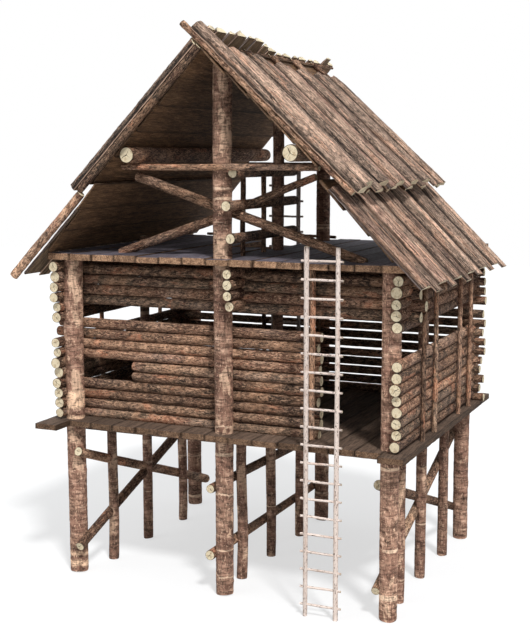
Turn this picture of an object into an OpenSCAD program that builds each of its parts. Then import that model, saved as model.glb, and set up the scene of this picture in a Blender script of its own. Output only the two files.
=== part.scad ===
// Two-storey log cabin on stilts, built of round logs, with an open attic under a slab roof.
// Millimetres. X runs along the front gable, Y from the front to the back, Z up from the ground.
// The origin is on the ground in the middle of the six main posts.

/* [Main posts and stilts] */
// Width of the post grid across the gable, centre to centre.
grid_width = 5800; // [5600:50:6000]
// Depth of the post grid from front to back, centre to centre.
grid_depth = 4570; // [4470:10:4700]
// Radius of the six main posts.
post_radius = 145; // [130:1:150]
// Radius of the thin stilts between the main posts.
stilt_radius = 80; // [60:1:85]
// Radius of the post that stands in the middle of the cabin.
middle_radius = 85; // [70:1:90]

/* [Floors] */
// Height of the top of the lower floor above the ground.
floor_top = 2807; // [2700:1:2850]
// Thickness of the boards of the lower floor.
floor_board_thickness = 100; // [60:1:110]
// Height of the underside of the attic floor boards.
attic_underside = 5620; // [5600:1:5650]
// Thickness of the thinnest attic floor board.
attic_board_thickness = 102; // [80:1:105]
// Largest extra thickness of an attic floor board.
attic_board_step = 16; // [0:1:18]
// Radius of the logs that carry the lower floor.
joist_radius = 80; // [60:1:82]

/* [Log walls] */
// Radius of the thickest wall logs.
log_radius = 88; // [80:1:88]
// How much thinner the thinnest log of a wall may be.
log_taper = 6; // [0:1:8]
// Height from one log of a wall to the next.
row_pitch = 179; // [178:0.5:180]
// Height from one log to the next in the band above the windows.
upper_pitch = 177.5; // [177:0.5:178]
// Radius of the thickest logs of the back wall.
back_log_radius = 74; // [66:1:76]

/* [Doorway and window gaps] */
// Position across the front of the pole that stands at the doorway.
door_pole_x = 1540; // [1450:10:1600]
// Radius of the pole at the doorway.
door_pole_radius = 52; // [40:1:55]
// Right end of the short front logs left of the doorway.
door_log_end = 1625; // [1600:5:1680]
// Left end of the two short logs that leave an opening beside the left post.
short_log_start = -1870; // [-2100:10:-1600]

/* [Roof] */
// Height of the underside of the roof slabs at the ridge.
ridge_height = 9200; // [9190:1:9215]
// Sideways place of the ridge, which lies a little left of the middle of the post grid.
ridge_x = -40; // [-50:1:-30]
// Slope of the upper tier on the left in degrees.
left_upper_slope = 45.4; // [45.3:0.1:45.5]
// Slope of the upper tier on the right in degrees.
right_upper_slope = 42.4; // [42.2:0.1:42.6]
// Slope of the lower tier on the left in degrees.
left_lower_slope = 45.8; // [45.6:0.1:46]
// Slope of the lower tier on the right in degrees.
right_lower_slope = 44.8; // [44.6:0.1:45]
// Distance from the middle plane to the lower edge of the upper tier on the left.
left_upper_edge = 2400; // [2380:5:2410]
// Distance from the middle plane to the lower edge of the upper tier on the right.
right_upper_edge = 2560; // [2520:5:2600]
// Distance by which the roof stands out past the side walls.
eaves_overhang = 494; // [480:1:520]
// Height of the underside of the lower tier at its lower edge on the left.
left_eaves_height = 5281; // [5270:1:5290]
// Height of the underside of the lower tier at its lower edge on the right.
right_eaves_height = 5341; // [5320:1:5350]
// Thickness of the slabs of the upper tier at the front of the roof.
front_slab_thickness = 165; // [140:1:170]
// Thickness of the slabs of the upper tier at the back of the roof.
back_slab_thickness = 110; // [100:1:125]
// Thickness of the slabs of the lower tier on the left.
left_lower_slab_thickness = 120; // [100:1:124]
// Thickness of the slabs of the lower tier on the right.
right_lower_slab_thickness = 100; // [80:1:110]
// Radius of the rafters under the slabs on the left.
left_rafter_radius = 24; // [20:1:26]
// Radius of the rafters under the slabs on the right.
right_rafter_radius = 50; // [40:1:52]
// Thickness of the wide boards under the rafters.
roof_board_thickness = 30; // [24:1:32]
// How far the roof reaches to the front and to the back of the middle of the cabin.
roof_reach = 3020; // [3000:5:3060]

/* [Ladders] */
// Distance from one rung to the next.
rung_pitch = 293; // [270:1:300]
// Radius of the ladder poles.
ladder_radius = 43; // [35:1:45]
// Radius of the ladder rungs.
rung_radius = 23; // [16:1:26]
// Distance between the two poles of a ladder, centre to centre.
ladder_width = 523; // [480:1:560]

/* [Fits] */
// Gap left between two pieces that rest against each other.
seat = 0.3; // [0.2:0.05:0.5]

/* [Hidden] */
$fn = 48;
half_width = grid_width / 2;
half_depth = grid_depth / 2;
attic_top = attic_underside + attic_board_thickness;
// How far the ends of the wall logs reach past the middles of the corner posts.
front_log_reach = 430;
back_log_reach = 405;
side_log_reach = 315;
side_log_tail = 85;
floor_underside = floor_top - floor_board_thickness;
// Each wall is [line that its logs lie against, side of that line on which they lie].
// The side walls are let into the corner posts by their housing.
housing = 55;
left_side = [-half_width - post_radius + housing, -1];
right_side = [half_width + post_radius - housing, 1];
front_side = [-half_depth + post_radius, 1];
back_side = [half_depth - post_radius, -1];
beam_side = [post_radius, 1];
function lie(wall, r) = wall[0] + wall[1] * (r + seat);
beam_x = lie(beam_side, log_radius);
far = 12000;
// Place of the post in the middle of the cabin.
middle_x = 120;
middle_y = -270;

function vary(seed, i, amount) = amount * rands(-1, 1, 1, seed * 100 + i)[0];
function log_r(seed, i) = log_radius - abs(vary(seed, i, log_taper));

// ---------- rows of logs: each row is [height of the axis, radius] ----------
front_low_count = 10;
side_low_count = 8;
function front_low(i) = [floor_top + 58 + i * row_pitch, log_r(11, i)];
function front_high(i) = [attic_underside - 725 + i * upper_pitch, log_r(12, i)];
function side_low(seed, i) = [floor_top + 113 + i * row_pitch, log_r(seed, i)];
function side_high(seed, i) = [attic_underside - 835 + i * upper_pitch, log_r(seed, i + 20)];
function back_low(i) = [floor_top + 54 + i * 176, back_log_radius - abs(vary(14, i, 8))];
function back_high(i) = [attic_underside - 920 + i * 178, back_log_radius - abs(vary(15, i, 8))];
function beam_row(i) = [side_high(0, i + 1)[0], log_r(16, i)];

front_low_rows = [for (i = [0 : front_low_count - 1]) front_low(i)];
front_high_rows = [for (i = [0 : 3]) front_high(i)];
left_low_rows = [for (i = [0 : side_low_count - 1]) side_low(21, i)];
left_high_rows = [for (i = [-1 : 4]) side_high(21, i)];
right_low_rows = [for (i = [0 : side_low_count - 1]) side_low(22, i)];
right_high_rows = [for (i = [0 : 4]) side_high(22, i)];
back_low_rows = [for (i = [0 : 9]) back_low(i)];
back_high_rows = [for (i = [0 : 4]) back_high(i)];
beam_rows = [for (i = [0 : 3]) beam_row(i)];
front_rows = concat(front_low_rows, front_high_rows);
back_rows = concat(back_low_rows, back_high_rows);
left_rows = concat(left_low_rows, left_high_rows);
right_rows = concat(right_low_rows, right_high_rows);

// ---------- lines of the roof; side is -1 on the left and 1 on the right ----------
purlin_radius = 136;
purlin_x = 1480;
ridge_pole_radius = 90;
board_lap = 90;
lower_board_lap = 60;
board_count = 5;
lower_board_count = 3;
// The boards of the lower tier end above the attic floor.
lower_board_end = 720;
roof_half = half_width + post_radius + 2 * log_radius + eaves_overhang;
function pick(side, left, right) = side < 0 ? left : right;
function upper_slope(side) = pick(side, left_upper_slope, right_upper_slope);
function lower_slope(side) = pick(side, left_lower_slope, right_lower_slope);
function eaves_height(side) = pick(side, left_eaves_height, right_eaves_height);
function rafter_radius(side) = pick(side, left_rafter_radius, right_rafter_radius);
function lower_thickness(side) = pick(side, left_lower_slab_thickness, right_lower_slab_thickness);
function lower_edge(side) = roof_half - lower_thickness(side) * sin(lower_slope(side));
function upper_length(side) = (pick(side, left_upper_edge + ridge_x, right_upper_edge - ridge_x))
                              / cos(upper_slope(side));
function lower_length(side) = pick(side, 2000, 2200);
// Length at the foot of the upper tier that has no boards under it.
function bare_foot(side) = pick(side, 300, 758);
// Distance from the ridge plane of a point at x on the same side.
function from_ridge(side, x) = side * (x - ridge_x);

// Boards of the upper tier: depth of their upper edges under the slabs, and where they start.
function board_depth(side) = 2 * rafter_radius(side) + 2 * seat;
function ridge_gap(side) = (board_depth(side) + roof_board_thickness) * tan(upper_slope(side)) + 6;
function board_run(side) = (upper_length(side) - bare_foot(side) - ridge_gap(side) - board_lap) / board_count;
function board_start(side, k) = ridge_gap(side) + k * board_run(side);
function board_angle(side) = upper_slope(side) + atan((roof_board_thickness + seat) / board_run(side));
// Start and end of the inner face of a board, as [distance from the ridge plane, height].
function face_start(side, k) = let(s = upper_slope(side), a = board_angle(side), u = board_start(side, k))
    [u * cos(s) - board_depth(side) * sin(s) - roof_board_thickness * sin(a),
     ridge_height - u * sin(s) - board_depth(side) * cos(s) - roof_board_thickness * cos(a)];
function face_end(side, k) = let(a = board_angle(side), f = face_start(side, k), l = board_run(side) + board_lap)
    [f[0] + l * cos(a), f[1] - l * sin(a)];
// Height of the inner face at a distance from the ridge plane.
function face_height(side, d) = min([for (k = [0 : board_count - 1])
    let(f = face_start(side, k), e = face_end(side, k))
    d >= f[0] && d <= e[0] ? f[1] - (d - f[0]) * tan(board_angle(side)) : far]);
// Highest axis of a log of radius r that runs along the roof under its inner face.
function log_under(side, d, r) = min([for (k = [0 : board_count - 1])
    let(a = board_angle(side), f = face_start(side, k), e = face_end(side, k), t = d + r * sin(a))
    t >= f[0] && t <= e[0] ? f[1] - (d - f[0]) * tan(a) - r / cos(a)
    : abs(d - e[0]) < r ? e[1] - sqrt(r * r - (d - e[0]) * (d - e[0])) : far]) - seat;
function post_top(x, r) = min(face_height(-1, max(from_ridge(-1, x - r), 20)),
                              face_height(1, max(from_ridge(1, x + r), 20))) - seat;
ridge_pole_z = min(log_under(-1, 0, ridge_pole_radius), log_under(1, 0, ridge_pole_radius));
function purlin_z(side) = log_under(side, from_ridge(side, side * purlin_x), purlin_radius);

// ---------- plain logs ----------
module log_x(x0, x1, y, z, r)
{
    translate([x0, y, z])
    rotate([0, 90, 0])
    cylinder(r = r, h = x1 - x0);
}

module log_y(y0, y1, x, z, r)
{
    translate([x, y0, z])
    rotate([-90, 0, 0])
    cylinder(r = r, h = y1 - y0);
}

module log_z(z0, z1, x, y, r)
{
    translate([x, y, z0])
    cylinder(r = r, h = z1 - z0);
}

// A log between two points of an upright plane that runs along Y.
module log_in_side(x, a, b, r)
{
    run = b[0] - a[0];
    rise = b[1] - a[1];
    translate([x, a[0], a[1]])
    rotate([atan2(-run, rise), 0, 0])
    cylinder(r = r, h = sqrt(run * run + rise * rise));
}

// A log between two points of an upright plane that runs along X.
module log_in_front(y, a, b, r)
{
    run = b[0] - a[0];
    rise = b[1] - a[1];
    translate([a[0], y, a[1]])
    rotate([0, atan2(run, rise), 0])
    cylinder(r = r, h = sqrt(run * run + rise * rise));
}

// Saddles cut over the crossing logs that lie just below a log.
module saddles_along_y(wall, rows, z, r)
{
    for (q = rows)
        if (q[0] < z && z - q[0] < r + q[1] + seat)
            log_y(-far / 2, far / 2, lie(wall, q[1]), q[0], q[1] + seat);
}

module saddles_along_x(wall, rows, z, r)
{
    for (q = rows)
        if (q[0] < z && z - q[0] < r + q[1] + seat)
            log_x(-far / 2, far / 2, lie(wall, q[1]), q[0], q[1] + seat);
}

module below(z)
{
    translate([-far / 2, -far / 2, z - far])
    cube([far, far, far]);
}

// ---------- main posts ----------
module bark() { color([0.42, 0.31, 0.24]) children(); }

module front_left_post() { bark() log_z(0, attic_underside - seat, -half_width, -half_depth, post_radius); }
module front_right_post() { bark() log_z(0, attic_underside - seat, half_width, -half_depth, post_radius); }
module back_left_post() { bark() log_z(0, attic_underside - seat, -half_width, half_depth, post_radius); }
module back_right_post() { bark() log_z(0, attic_underside - seat, half_width, half_depth, post_radius); }

module centre_post(y)
{
    bark()
    difference()
    {
        log_z(0, post_top(0, post_radius), 0, y, post_radius);
        ridge_pole_log(seat);
    }
}

module front_centre_post() { centre_post(-half_depth); }
module back_centre_post() { centre_post(half_depth); }

module middle_post()
{
    bark()
    difference()
    {
        log_z(floor_top + seat, post_top(middle_x, middle_radius), middle_x, middle_y, middle_radius);
        ridge_pole_log(seat);
        for (q = beam_rows)
            log_y(-far / 2, far / 2, lie(beam_side, q[1]), q[0], q[1] + seat);
        for (z = rail_heights)
            log_y(-far / 2, far / 2, beam_x, z, log_radius + seat);
    }
}

// ---------- stilts and their braces ----------
stilt_rows = [-half_depth + 795, middle_y + 80, half_depth - 1150];
brace_radius = 48;
brace_x = half_width - post_radius - brace_radius - seat;
left_stilt_x = [-half_width + 240, -half_width + 240, -half_width + 307];
right_stilt_x = [half_width - 66, half_width - 90, half_width - 48];
centre_stilt_x = [-50, -50, -11];
centre_rail_x = -(post_radius + brace_radius + seat);
stub_top = attic_top + 170;
high_end = [-half_depth - 255, 2277];
low_end = [half_depth + 140, 500];
rising_start = [-half_depth - 290, 530];
rising_end = [half_depth + 100, 2250];
right_falling = [[-half_depth + 45, 2211], [half_depth + 306, 484]];
right_rising = [[-half_depth - 73, 458], [half_depth + 100, 2150]];

module left_stilts()
{
    bark()
    difference()
    {
        for (i = [0 : 2])
            log_z(0, i == 1 ? stub_top : floor_underside - seat, left_stilt_x[i], stilt_rows[i], stilt_radius);
        log_in_side(-brace_x, high_end, low_end, brace_radius + seat);
        log_in_side(-brace_x, rising_start, rising_end, brace_radius + seat);
    }
}

module centre_stilts()
{
    bark()
    for (i = [0 : 2])
        log_z(0, floor_underside - seat, centre_stilt_x[i], stilt_rows[i], stilt_radius);
}

module right_stilts()
{
    bark()
    difference()
    {
        for (i = [0 : 2])
            log_z(0, i == 1 ? stub_top : floor_underside - seat, right_stilt_x[i], stilt_rows[i], stilt_radius);
        log_in_side(brace_x, right_falling[0], right_falling[1], brace_radius + seat);
        log_in_side(brace_x, right_rising[0], right_rising[1], brace_radius + seat);
    }
}

// Two crossing braces, halved into each other where they meet.
module cross_braces(x, fall_a, fall_b, rise_a, rise_b)
{
    difference()
    {
        log_in_side(x, fall_a, fall_b, brace_radius);
        intersection()
        {
            log_in_side(x, rise_a, rise_b, brace_radius + 2 * seat);
            translate([x - seat, -far / 2, 0])
            cube([far, far, far]);
        }
    }
    difference()
    {
        log_in_side(x, rise_a, rise_b, brace_radius);
        intersection()
        {
            log_in_side(x, fall_a, fall_b, brace_radius + 2 * seat);
            translate([x - far, -far / 2, 0])
            cube([far, far, far]);
        }
    }
}

module left_stilt_braces()
{
    bark() cross_braces(-brace_x, high_end, low_end, rising_start, rising_end);
}

module right_stilt_braces()
{
    bark() cross_braces(brace_x, right_falling[0], right_falling[1], right_rising[0], right_rising[1]);
}

module centre_stilt_braces()
{
    bark()
    {
        log_in_side(centre_rail_x, [-half_depth - 150, 1845], [half_depth + 180, 1730], brace_radius);
        log_in_side(centre_rail_x, [-half_depth - 180, 700], [half_depth + 160, 680], brace_radius);
    }
}

// ---------- lower floor ----------
joist_z = floor_underside - joist_radius - seat;
joist_rows = [-half_depth + post_radius + joist_radius + seat,
              stilt_rows[0] + stilt_radius + joist_radius + seat,
              stilt_rows[1] + stilt_radius + joist_radius + seat,
              stilt_rows[2] + stilt_radius + joist_radius + seat,
              half_depth - post_radius - joist_radius - seat];
floor_half = half_width + 400;
floor_count = 15;
floor_pitch = 2 * floor_half / floor_count;
post_gap = 5;

module floor_joists()
{
    bark()
    for (y = joist_rows)
        log_x(-half_width - 220, half_width + 220, y, joist_z, joist_radius);
}

function floor_front(i) = -half_depth - (i == 0 ? 695 : i == floor_count - 1 ? 565 : 315 + vary(31, i, 34));

module all_uprights(extra)
{
    for (sx = [-1, 0, 1])
        for (sy = [-1, 1])
            log_z(0, ridge_height, sx * half_width, sy * half_depth, post_radius + extra);
    log_z(0, far, left_stilt_x[1], stilt_rows[1], stilt_radius + extra);
    log_z(0, far, right_stilt_x[1], stilt_rows[1], stilt_radius + extra);
}

module floor_boards()
{
    color([0.38, 0.30, 0.24])
    difference()
    {
        for (i = [0 : floor_count - 1])
            translate([-floor_half + i * floor_pitch + 3, floor_front(i), floor_underside])
            cube([floor_pitch - 6, half_depth + 455 + vary(32, i, 30) - floor_front(i), floor_board_thickness]);
        all_uprights(post_gap);
    }
}

// ---------- log walls ----------
module front_wall_lower_logs()
{
    bark()
    for (i = [0 : front_low_count - 1])
    {
        q = front_low(i);
        start = (i == 4 || i == 5) ? short_log_start : -half_width - front_log_reach + vary(41, i, 70);
        difference()
        {
            log_x(start, door_log_end + vary(42, i, 30), lie(front_side, q[1]), q[0], q[1]);
            saddles_along_y(left_side, left_rows, q[0], q[1]);
            below(floor_top + seat);
        }
    }
}

module front_wall_upper_logs()
{
    bark()
    for (i = [0 : 3])
    {
        q = front_high(i);
        difference()
        {
            log_x(-half_width - front_log_reach + vary(43, i, 60), half_width + front_log_reach + vary(44, i, 60),
                  lie(front_side, q[1]), q[0], q[1]);
            saddles_along_y(left_side, left_rows, q[0], q[1]);
            saddles_along_y(right_side, right_rows, q[0], q[1]);
            saddles_along_y(beam_side, beam_rows, q[0], q[1]);
        }
    }
}

module back_logs(rows, seed)
{
    bark()
    for (i = [0 : len(rows) - 1])
    {
        q = rows[i];
        difference()
        {
            log_x(-half_width - front_log_reach + vary(seed, i, 60),
                  half_width + back_log_reach + vary(seed, i + 30, 55), lie(back_side, q[1]), q[0], q[1]);
            saddles_along_y(left_side, left_rows, q[0], q[1]);
            saddles_along_y(right_side, right_rows, q[0], q[1]);
            saddles_along_y(beam_side, beam_rows, q[0], q[1]);
            below(floor_top + seat);
        }
    }
}

module back_wall_lower_logs() { back_logs(back_low_rows, 45); }
module back_wall_upper_logs() { back_logs(back_high_rows, 46); }

module side_logs(wall, rows, seed)
{
    bark()
    for (i = [0 : len(rows) - 1])
    {
        q = rows[i];
        difference()
        {
            log_y(-half_depth - side_log_reach + vary(seed, i, 55),
                  half_depth + side_log_tail + vary(seed, i + 30, 110), lie(wall, q[1]), q[0], q[1]);
            saddles_along_x(front_side, front_saddle_rows(wall[0]), q[0], q[1]);
            saddles_along_x(back_side, back_rows, q[0], q[1]);
            for (sy = [-1, 1])
                log_z(0, far, wall[1] * half_width, sy * half_depth, post_radius + seat);
        }
    }
}

function front_saddle_rows(x) = x > 0 ? front_high_rows : front_rows;

module left_wall_lower_logs() { side_logs(left_side, left_low_rows, 51); }
module left_wall_upper_logs() { side_logs(left_side, left_high_rows, 52); }
module right_wall_lower_logs() { side_logs(right_side, right_low_rows, 53); }
module right_wall_upper_logs() { side_logs(right_side, right_high_rows, 54); }

module centre_beams()
{
    bark()
    for (i = [0 : len(beam_rows) - 1])
    {
        q = beam_rows[i];
        difference()
        {
            log_y(-half_depth - side_log_reach + vary(55, i, 55), half_depth + side_log_reach - 40 + vary(55, i + 30, 60),
                  lie(beam_side, q[1]), q[0], q[1]);
            saddles_along_x(front_side, front_high_rows, q[0], q[1]);
            saddles_along_x(back_side, back_rows, q[0], q[1]);
        }
    }
}

module door_pole()
{
    y = front_side[0] - door_pole_radius;
    bark() log_z(floor_top + seat, attic_underside - seat, door_pole_x, y, door_pole_radius);
}

batten_radius = 45;
function thickest(rows) = max([for (q = rows) q[1]]);
function batten_x(wall, rows) = lie(wall, 2 * thickest(rows) + batten_radius + seat);
inner_poles = [[-1140, 48], [60, 36]];
sill_radius = 30;

module wall_battens()
{
    bark()
    {
        for (y = [-half_depth + 725, middle_y - 590, half_depth - 1585, half_depth - 865])
        {
            log_z(floor_top + seat, attic_underside - 40, batten_x(left_side, left_rows), y, batten_radius);
            log_z(floor_top + seat, attic_underside - 40, batten_x(right_side, right_rows), y, batten_radius);
        }
        for (p = inner_poles)
            log_z(floor_top + seat, attic_joist_z - attic_joist_radius - seat,
                  p[0], lie(back_side, 2 * thickest(back_rows) + p[1] + seat), p[1]);
        log_x(-60, 2300, half_depth + post_radius + 2 * sill_radius, floor_top + sill_radius + seat, sill_radius);
    }
}

// ---------- attic floor ----------
attic_joist_radius = 80;
attic_joist_z = attic_underside - attic_joist_radius - seat;
// The hatch is a slot from its front edge to the back of the floor, as [left, front, right].
hatch = [-980, -110, -64];
back_ladder_y = half_depth - 885;
// The floor ends where it meets the underside of the lower tier of the roof.
function attic_edge(side) = side * (lower_edge(side)
    - (attic_top + attic_board_step - eaves_height(side)) / tan(lower_slope(side)) - seat / sin(lower_slope(side)));
attic_count = 15;
attic_pitch = (attic_edge(1) - attic_edge(-1)) / attic_count;
// The outermost boards stand at full height, since the lower tier of the roof rests on them.
function attic_step(i) = attic_board_step
    * (i == 0 || i == attic_count - 1 ? 2 : round(rands(0, 2, 1, 6100 + i)[0])) / 2;
function attic_front(i) = -half_depth - 335 + vary(62, i, 45);
function attic_index(x) = floor((x - attic_edge(-1)) / attic_pitch);
function attic_top_at(x) = attic_top + attic_step(attic_index(x));
back_joist_y = back_ladder_y + ladder_radius + attic_joist_radius + seat;
hatch_joist_y = (hatch[1] + back_joist_y) / 2;
attic_joist_rows = [-half_depth + 985, middle_y - middle_radius - attic_joist_radius - seat,
                    hatch_joist_y, back_joist_y];
// Two boards left of the hatch stop short of the back.
function attic_back(i) = attic_index(hatch[0]) - i == 0 || attic_index(hatch[0]) - i == 1
    ? back_joist_y + attic_joist_radius + 15 : half_depth + 335 + vary(63, i, 30);

module attic_joists()
{
    z = attic_joist_z;
    r = attic_joist_radius;
    bark()
    for (y = attic_joist_rows)
    {
        difference()
        {
            log_x(-half_width - 220, half_width + 220, y, z, r);
            saddles_along_y(left_side, left_rows, z, r);
            saddles_along_y(right_side, right_rows, z, r);
            saddles_along_y(beam_side, beam_rows, z, r);
            if (y == hatch_joist_y)
                translate([hatch[0], 0, 0])
                cube([hatch[2] - hatch[0], far, far]);
        }
    }
}

module attic_boards()
{
    color([0.33, 0.34, 0.40])
    difference()
    {
        for (i = [0 : attic_count - 1])
            translate([attic_edge(-1) + i * attic_pitch + (i == 0 ? 0 : 3), attic_front(i), attic_underside])
            cube([attic_pitch - (i == 0 || i == attic_count - 1 ? 3 : 6), attic_back(i) - attic_front(i),
                  attic_board_thickness + attic_step(i)]);
        log_z(0, far, 0, -half_depth, post_radius + post_gap);
        log_z(0, far, 0, half_depth, post_radius + post_gap);
        log_z(0, far, middle_x, middle_y, middle_radius + post_gap);
        log_z(0, far, left_stilt_x[1], stilt_rows[1], stilt_radius + post_gap);
        log_z(0, far, right_stilt_x[1], stilt_rows[1], stilt_radius + post_gap);
        translate([hatch[0], hatch[1], 0])
        cube([hatch[2] - hatch[0], far, far]);
    }
}

// ---------- attic rails, gable poles ----------
rail_heights = [attic_top + 336, attic_top + 868, attic_top + 1388];
rail_ends = [[-half_depth - 230, middle_y + 460],
             [-half_depth - 388, middle_y + 505],
             [-half_depth - 135, middle_y + 445]];
rail_post_radius = 48;
rail_post_x = beam_x - log_radius - rail_post_radius - seat;
tie_radius = 58;
tie_z = min(purlin_z(-1), purlin_z(1)) - purlin_radius - tie_radius - seat;
back_bar_radius = 32;

module attic_rails()
{
    bark()
    {
        for (i = [0 : 2])
            log_y(rail_ends[i][0], rail_ends[i][1], beam_x, rail_heights[i], log_radius);
        log_x(-half_width + 200, 170, half_depth + 270, attic_top + attic_board_step + back_bar_radius + seat,
              back_bar_radius);
    }
}

module attic_rail_posts()
{
    bark()
    for (y = [-half_depth + 565, middle_y - 600])
        log_z(attic_top_at(rail_post_x) + seat, attic_top + 1480, rail_post_x, y, rail_post_radius);
}

module tie_beams()
{
    bark()
    for (sy = [-1, 1])
        log_x(-purlin_x - 280, purlin_x + 280, sy * (half_depth + post_radius + tie_radius + seat), tie_z, tie_radius);
}

gable_radius = 60;
gable_y = -half_depth + post_radius + gable_radius + seat;

module gable_braces()
{
    bark()
    {
        difference()
        {
            log_in_front(gable_y, [-1700, 7068], [2500, 5642], gable_radius);
            below(attic_top + attic_board_step + seat);
        }
        difference()
        {
            log_in_front(gable_y + 2 * gable_radius + seat, [-2300, 5613], [1500, 7046], gable_radius);
            below(attic_top + attic_board_step + seat);
            for (z = rail_heights)
                log_y(-far / 2, far / 2, beam_x, z, log_radius + seat);
        }
    }
}

// ---------- roof ----------
// Places a piece in the frame of one tier: x runs down the slope, z out of the roof.
module on_upper(side)
{
    translate([ridge_x, 0, ridge_height])
    mirror([side < 0 ? 1 : 0, 0, 0])
    rotate([0, upper_slope(side), 0])
    children();
}

module on_lower(side)
{
    mirror([side < 0 ? 1 : 0, 0, 0])
    translate([lower_edge(side), 0, eaves_height(side)])
    rotate([0, lower_slope(side), 0])
    children();
}

module ridge_pole_log(extra)
{
    log_y(-half_depth - post_radius, half_depth + post_radius, ridge_x, ridge_pole_z, ridge_pole_radius + extra);
}

module ridge_pole() { bark() ridge_pole_log(0); }

module purlins()
{
    bark()
    {
        log_y(-roof_reach + 180, roof_reach - 220, -purlin_x, purlin_z(-1), purlin_radius);
        log_y(-roof_reach, roof_reach - 520, purlin_x, purlin_z(1), purlin_radius);
    }
}

// Rafters run down the slope under the slabs; the pole at the front edge is the thickest on the left.
rafter_pitch = (2 * half_depth - 520) / 4;
rafter_rows = [for (i = [0 : 4]) -half_depth - 15 + i * rafter_pitch];
edge_pole_y = -roof_reach + 70;
function edge_pole_radius(side) = pick(side, 58, right_rafter_radius);

module rafter(side, y, r, start)
{
    translate([start, y, -r - seat])
    rotate([0, 90, 0])
    cylinder(r = r, h = upper_length(side) - 60 - start);
}

function rafter_start(side, r) = 2 * (r + seat) * tan(upper_slope(side)) + 4;

module rafter_set(side, extra)
{
    for (y = rafter_rows)
        rafter(side, y, rafter_radius(side) + extra, rafter_start(side, rafter_radius(side)));
}

// Battens between the rafters carry the slabs that lie clear of a rafter.
module roof_battens(side, y1)
{
    r = rafter_radius(side);
    y0 = edge_pole_y + edge_pole_radius(side) + seat;
    difference()
    {
        for (k = [pick(side, 0, 2) : 2 : board_count - 1])
            translate([board_start(side, k) + 6, y0, -r - seat])
            rotate([-90, 0, 0])
            cylinder(r = r, h = y1 - y0);
        translate([0, 0, seat])
        rafter_set(side, seat);
    }
}

// At the front gable the right edge pole crosses the ridge, over the top of the left one.
// On the left another pole carries on from it, down to the eaves.
eaves_pole_radius = 70;
eaves_pole_length = 1989.5;

module rafters()
{
    bark()
    {
        for (side = [-1, 1])
            on_upper(side)
            {
                rafter_set(side, 0);
                rafter(side, edge_pole_y, edge_pole_radius(side),
                       pick(side, rafter_start(side, edge_pole_radius(side)), -410));
                roof_battens(side, pick(side, roof_reach - 60, roof_reach - 1150));
            }
        on_lower(-1)
        translate([-eaves_pole_length - 20, edge_pole_y, eaves_pole_radius])
        rotate([0, 90, 0])
        cylinder(r = eaves_pole_radius, h = eaves_pole_length);
    }
}

// The boards lap each other: the lower edge of each one lies inside the next.
module roof_board(u, run, lap, depth, y0, y1)
{
    translate([u, y0, -depth])
    rotate([0, atan((roof_board_thickness + seat) / run), 0])
    translate([0, 0, -roof_board_thickness])
    cube([run + lap, y1 - y0, roof_board_thickness]);
}

module roof_boards(side, y0, y1)
{
    start = pick(side, -2320, -2400);
    run = (-start - lower_board_end - lower_board_lap) / lower_board_count;
    color([0.25, 0.19, 0.14])
    {
        on_upper(side)
        for (k = [0 : board_count - 1])
            roof_board(board_start(side, k), board_run(side), board_lap, board_depth(side),
                       y0 + vary(71, k, 50), y1 + vary(72, k, 60));
        on_lower(side)
        for (k = [0 : lower_board_count - 1])
            roof_board(start + k * run, run, lower_board_lap, seat,
                       k == 0 ? -roof_reach + 60 : y0 + 60 + vary(73, k, 40), y1 + 40 + vary(74, k, 40));
    }
}

module roof_left_boards() { roof_boards(-1, -roof_reach + 220, roof_reach - 220); }
module roof_right_boards() { roof_boards(1, -roof_reach + 70, roof_reach - 770); }

// A slab is the outer part of a split log: flat below, rounded above.
module slab(u0, u1, y, width, thick)
{
    r = (width * width / 4 + thick * thick) / (2 * thick);
    translate([u0, y + width / 2, 0])
    rotate([90, 0, 90])
    linear_extrude(u1 - u0)
    intersection()
    {
        translate([0, thick - r])
        circle(r, $fn = 96);
        translate([-width, 0])
        square([2 * width, 2 * thick]);
    }
}

// Wide thick slabs and narrow thin ones take turns along a row, and the thin ones reach further down.
slab_gap = 8;
slab_share = 0.2;
thin_share = 0.6;
short_end = 100;
function slab_y(i, pitch) = (i + (i % 2 == 1 ? slab_share : 0)) * pitch;

// A row of slabs. Thicknesses are given as [front, back] and change evenly along the row.
module slab_row(seed, count, y0, y1, starts, end, thick, play)
{
    pitch = (y1 - y0) / count;
    for (i = [0 : count - 1])
    {
        thin = i % 2 == 1;
        share = i / (count - 1);
        low = slab_y(i, pitch);
        high = i == count - 1 ? count * pitch : slab_y(i + 1, pitch);
        slab(starts[i] + vary(seed, i, play[0]),
             end - (thin || i == count - 1 ? 0 : short_end) - abs(vary(seed, i + 50, play[1])),
             y0 + low, high - low - slab_gap,
             (thin ? thin_share : 1) * (thick[0] + (thick[1] - thick[0]) * share) - abs(vary(seed, i + 90, 8)));
    }
}

edge_slab_width = 340;
upper_thickness = [front_slab_thickness, back_slab_thickness];

// On the left the tips stand high above the ridge at the front and low at the back, but for two tall ones.
left_count = 15;
tall_tips = [4, 13];
function tip(i) = i == tall_tips[0] ? -150 : i == tall_tips[1] ? -80
                : 15 - 215 * min(1, max(0, (7 - i) / 4));

module roof_left_upper_slabs()
{
    length = upper_length(-1);
    row_start = -roof_reach + edge_slab_width + slab_gap;
    bark()
    on_upper(-1)
    {
        slab(290, length, -roof_reach, edge_slab_width, front_slab_thickness);
        slab_row(81, left_count, row_start, roof_reach, [for (i = [0 : left_count - 1]) tip(i)], length,
                 upper_thickness, [18, 40]);
    }
}

// On the right the slabs start well below the ridge, the more so towards the back.
right_count = 11;

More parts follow.
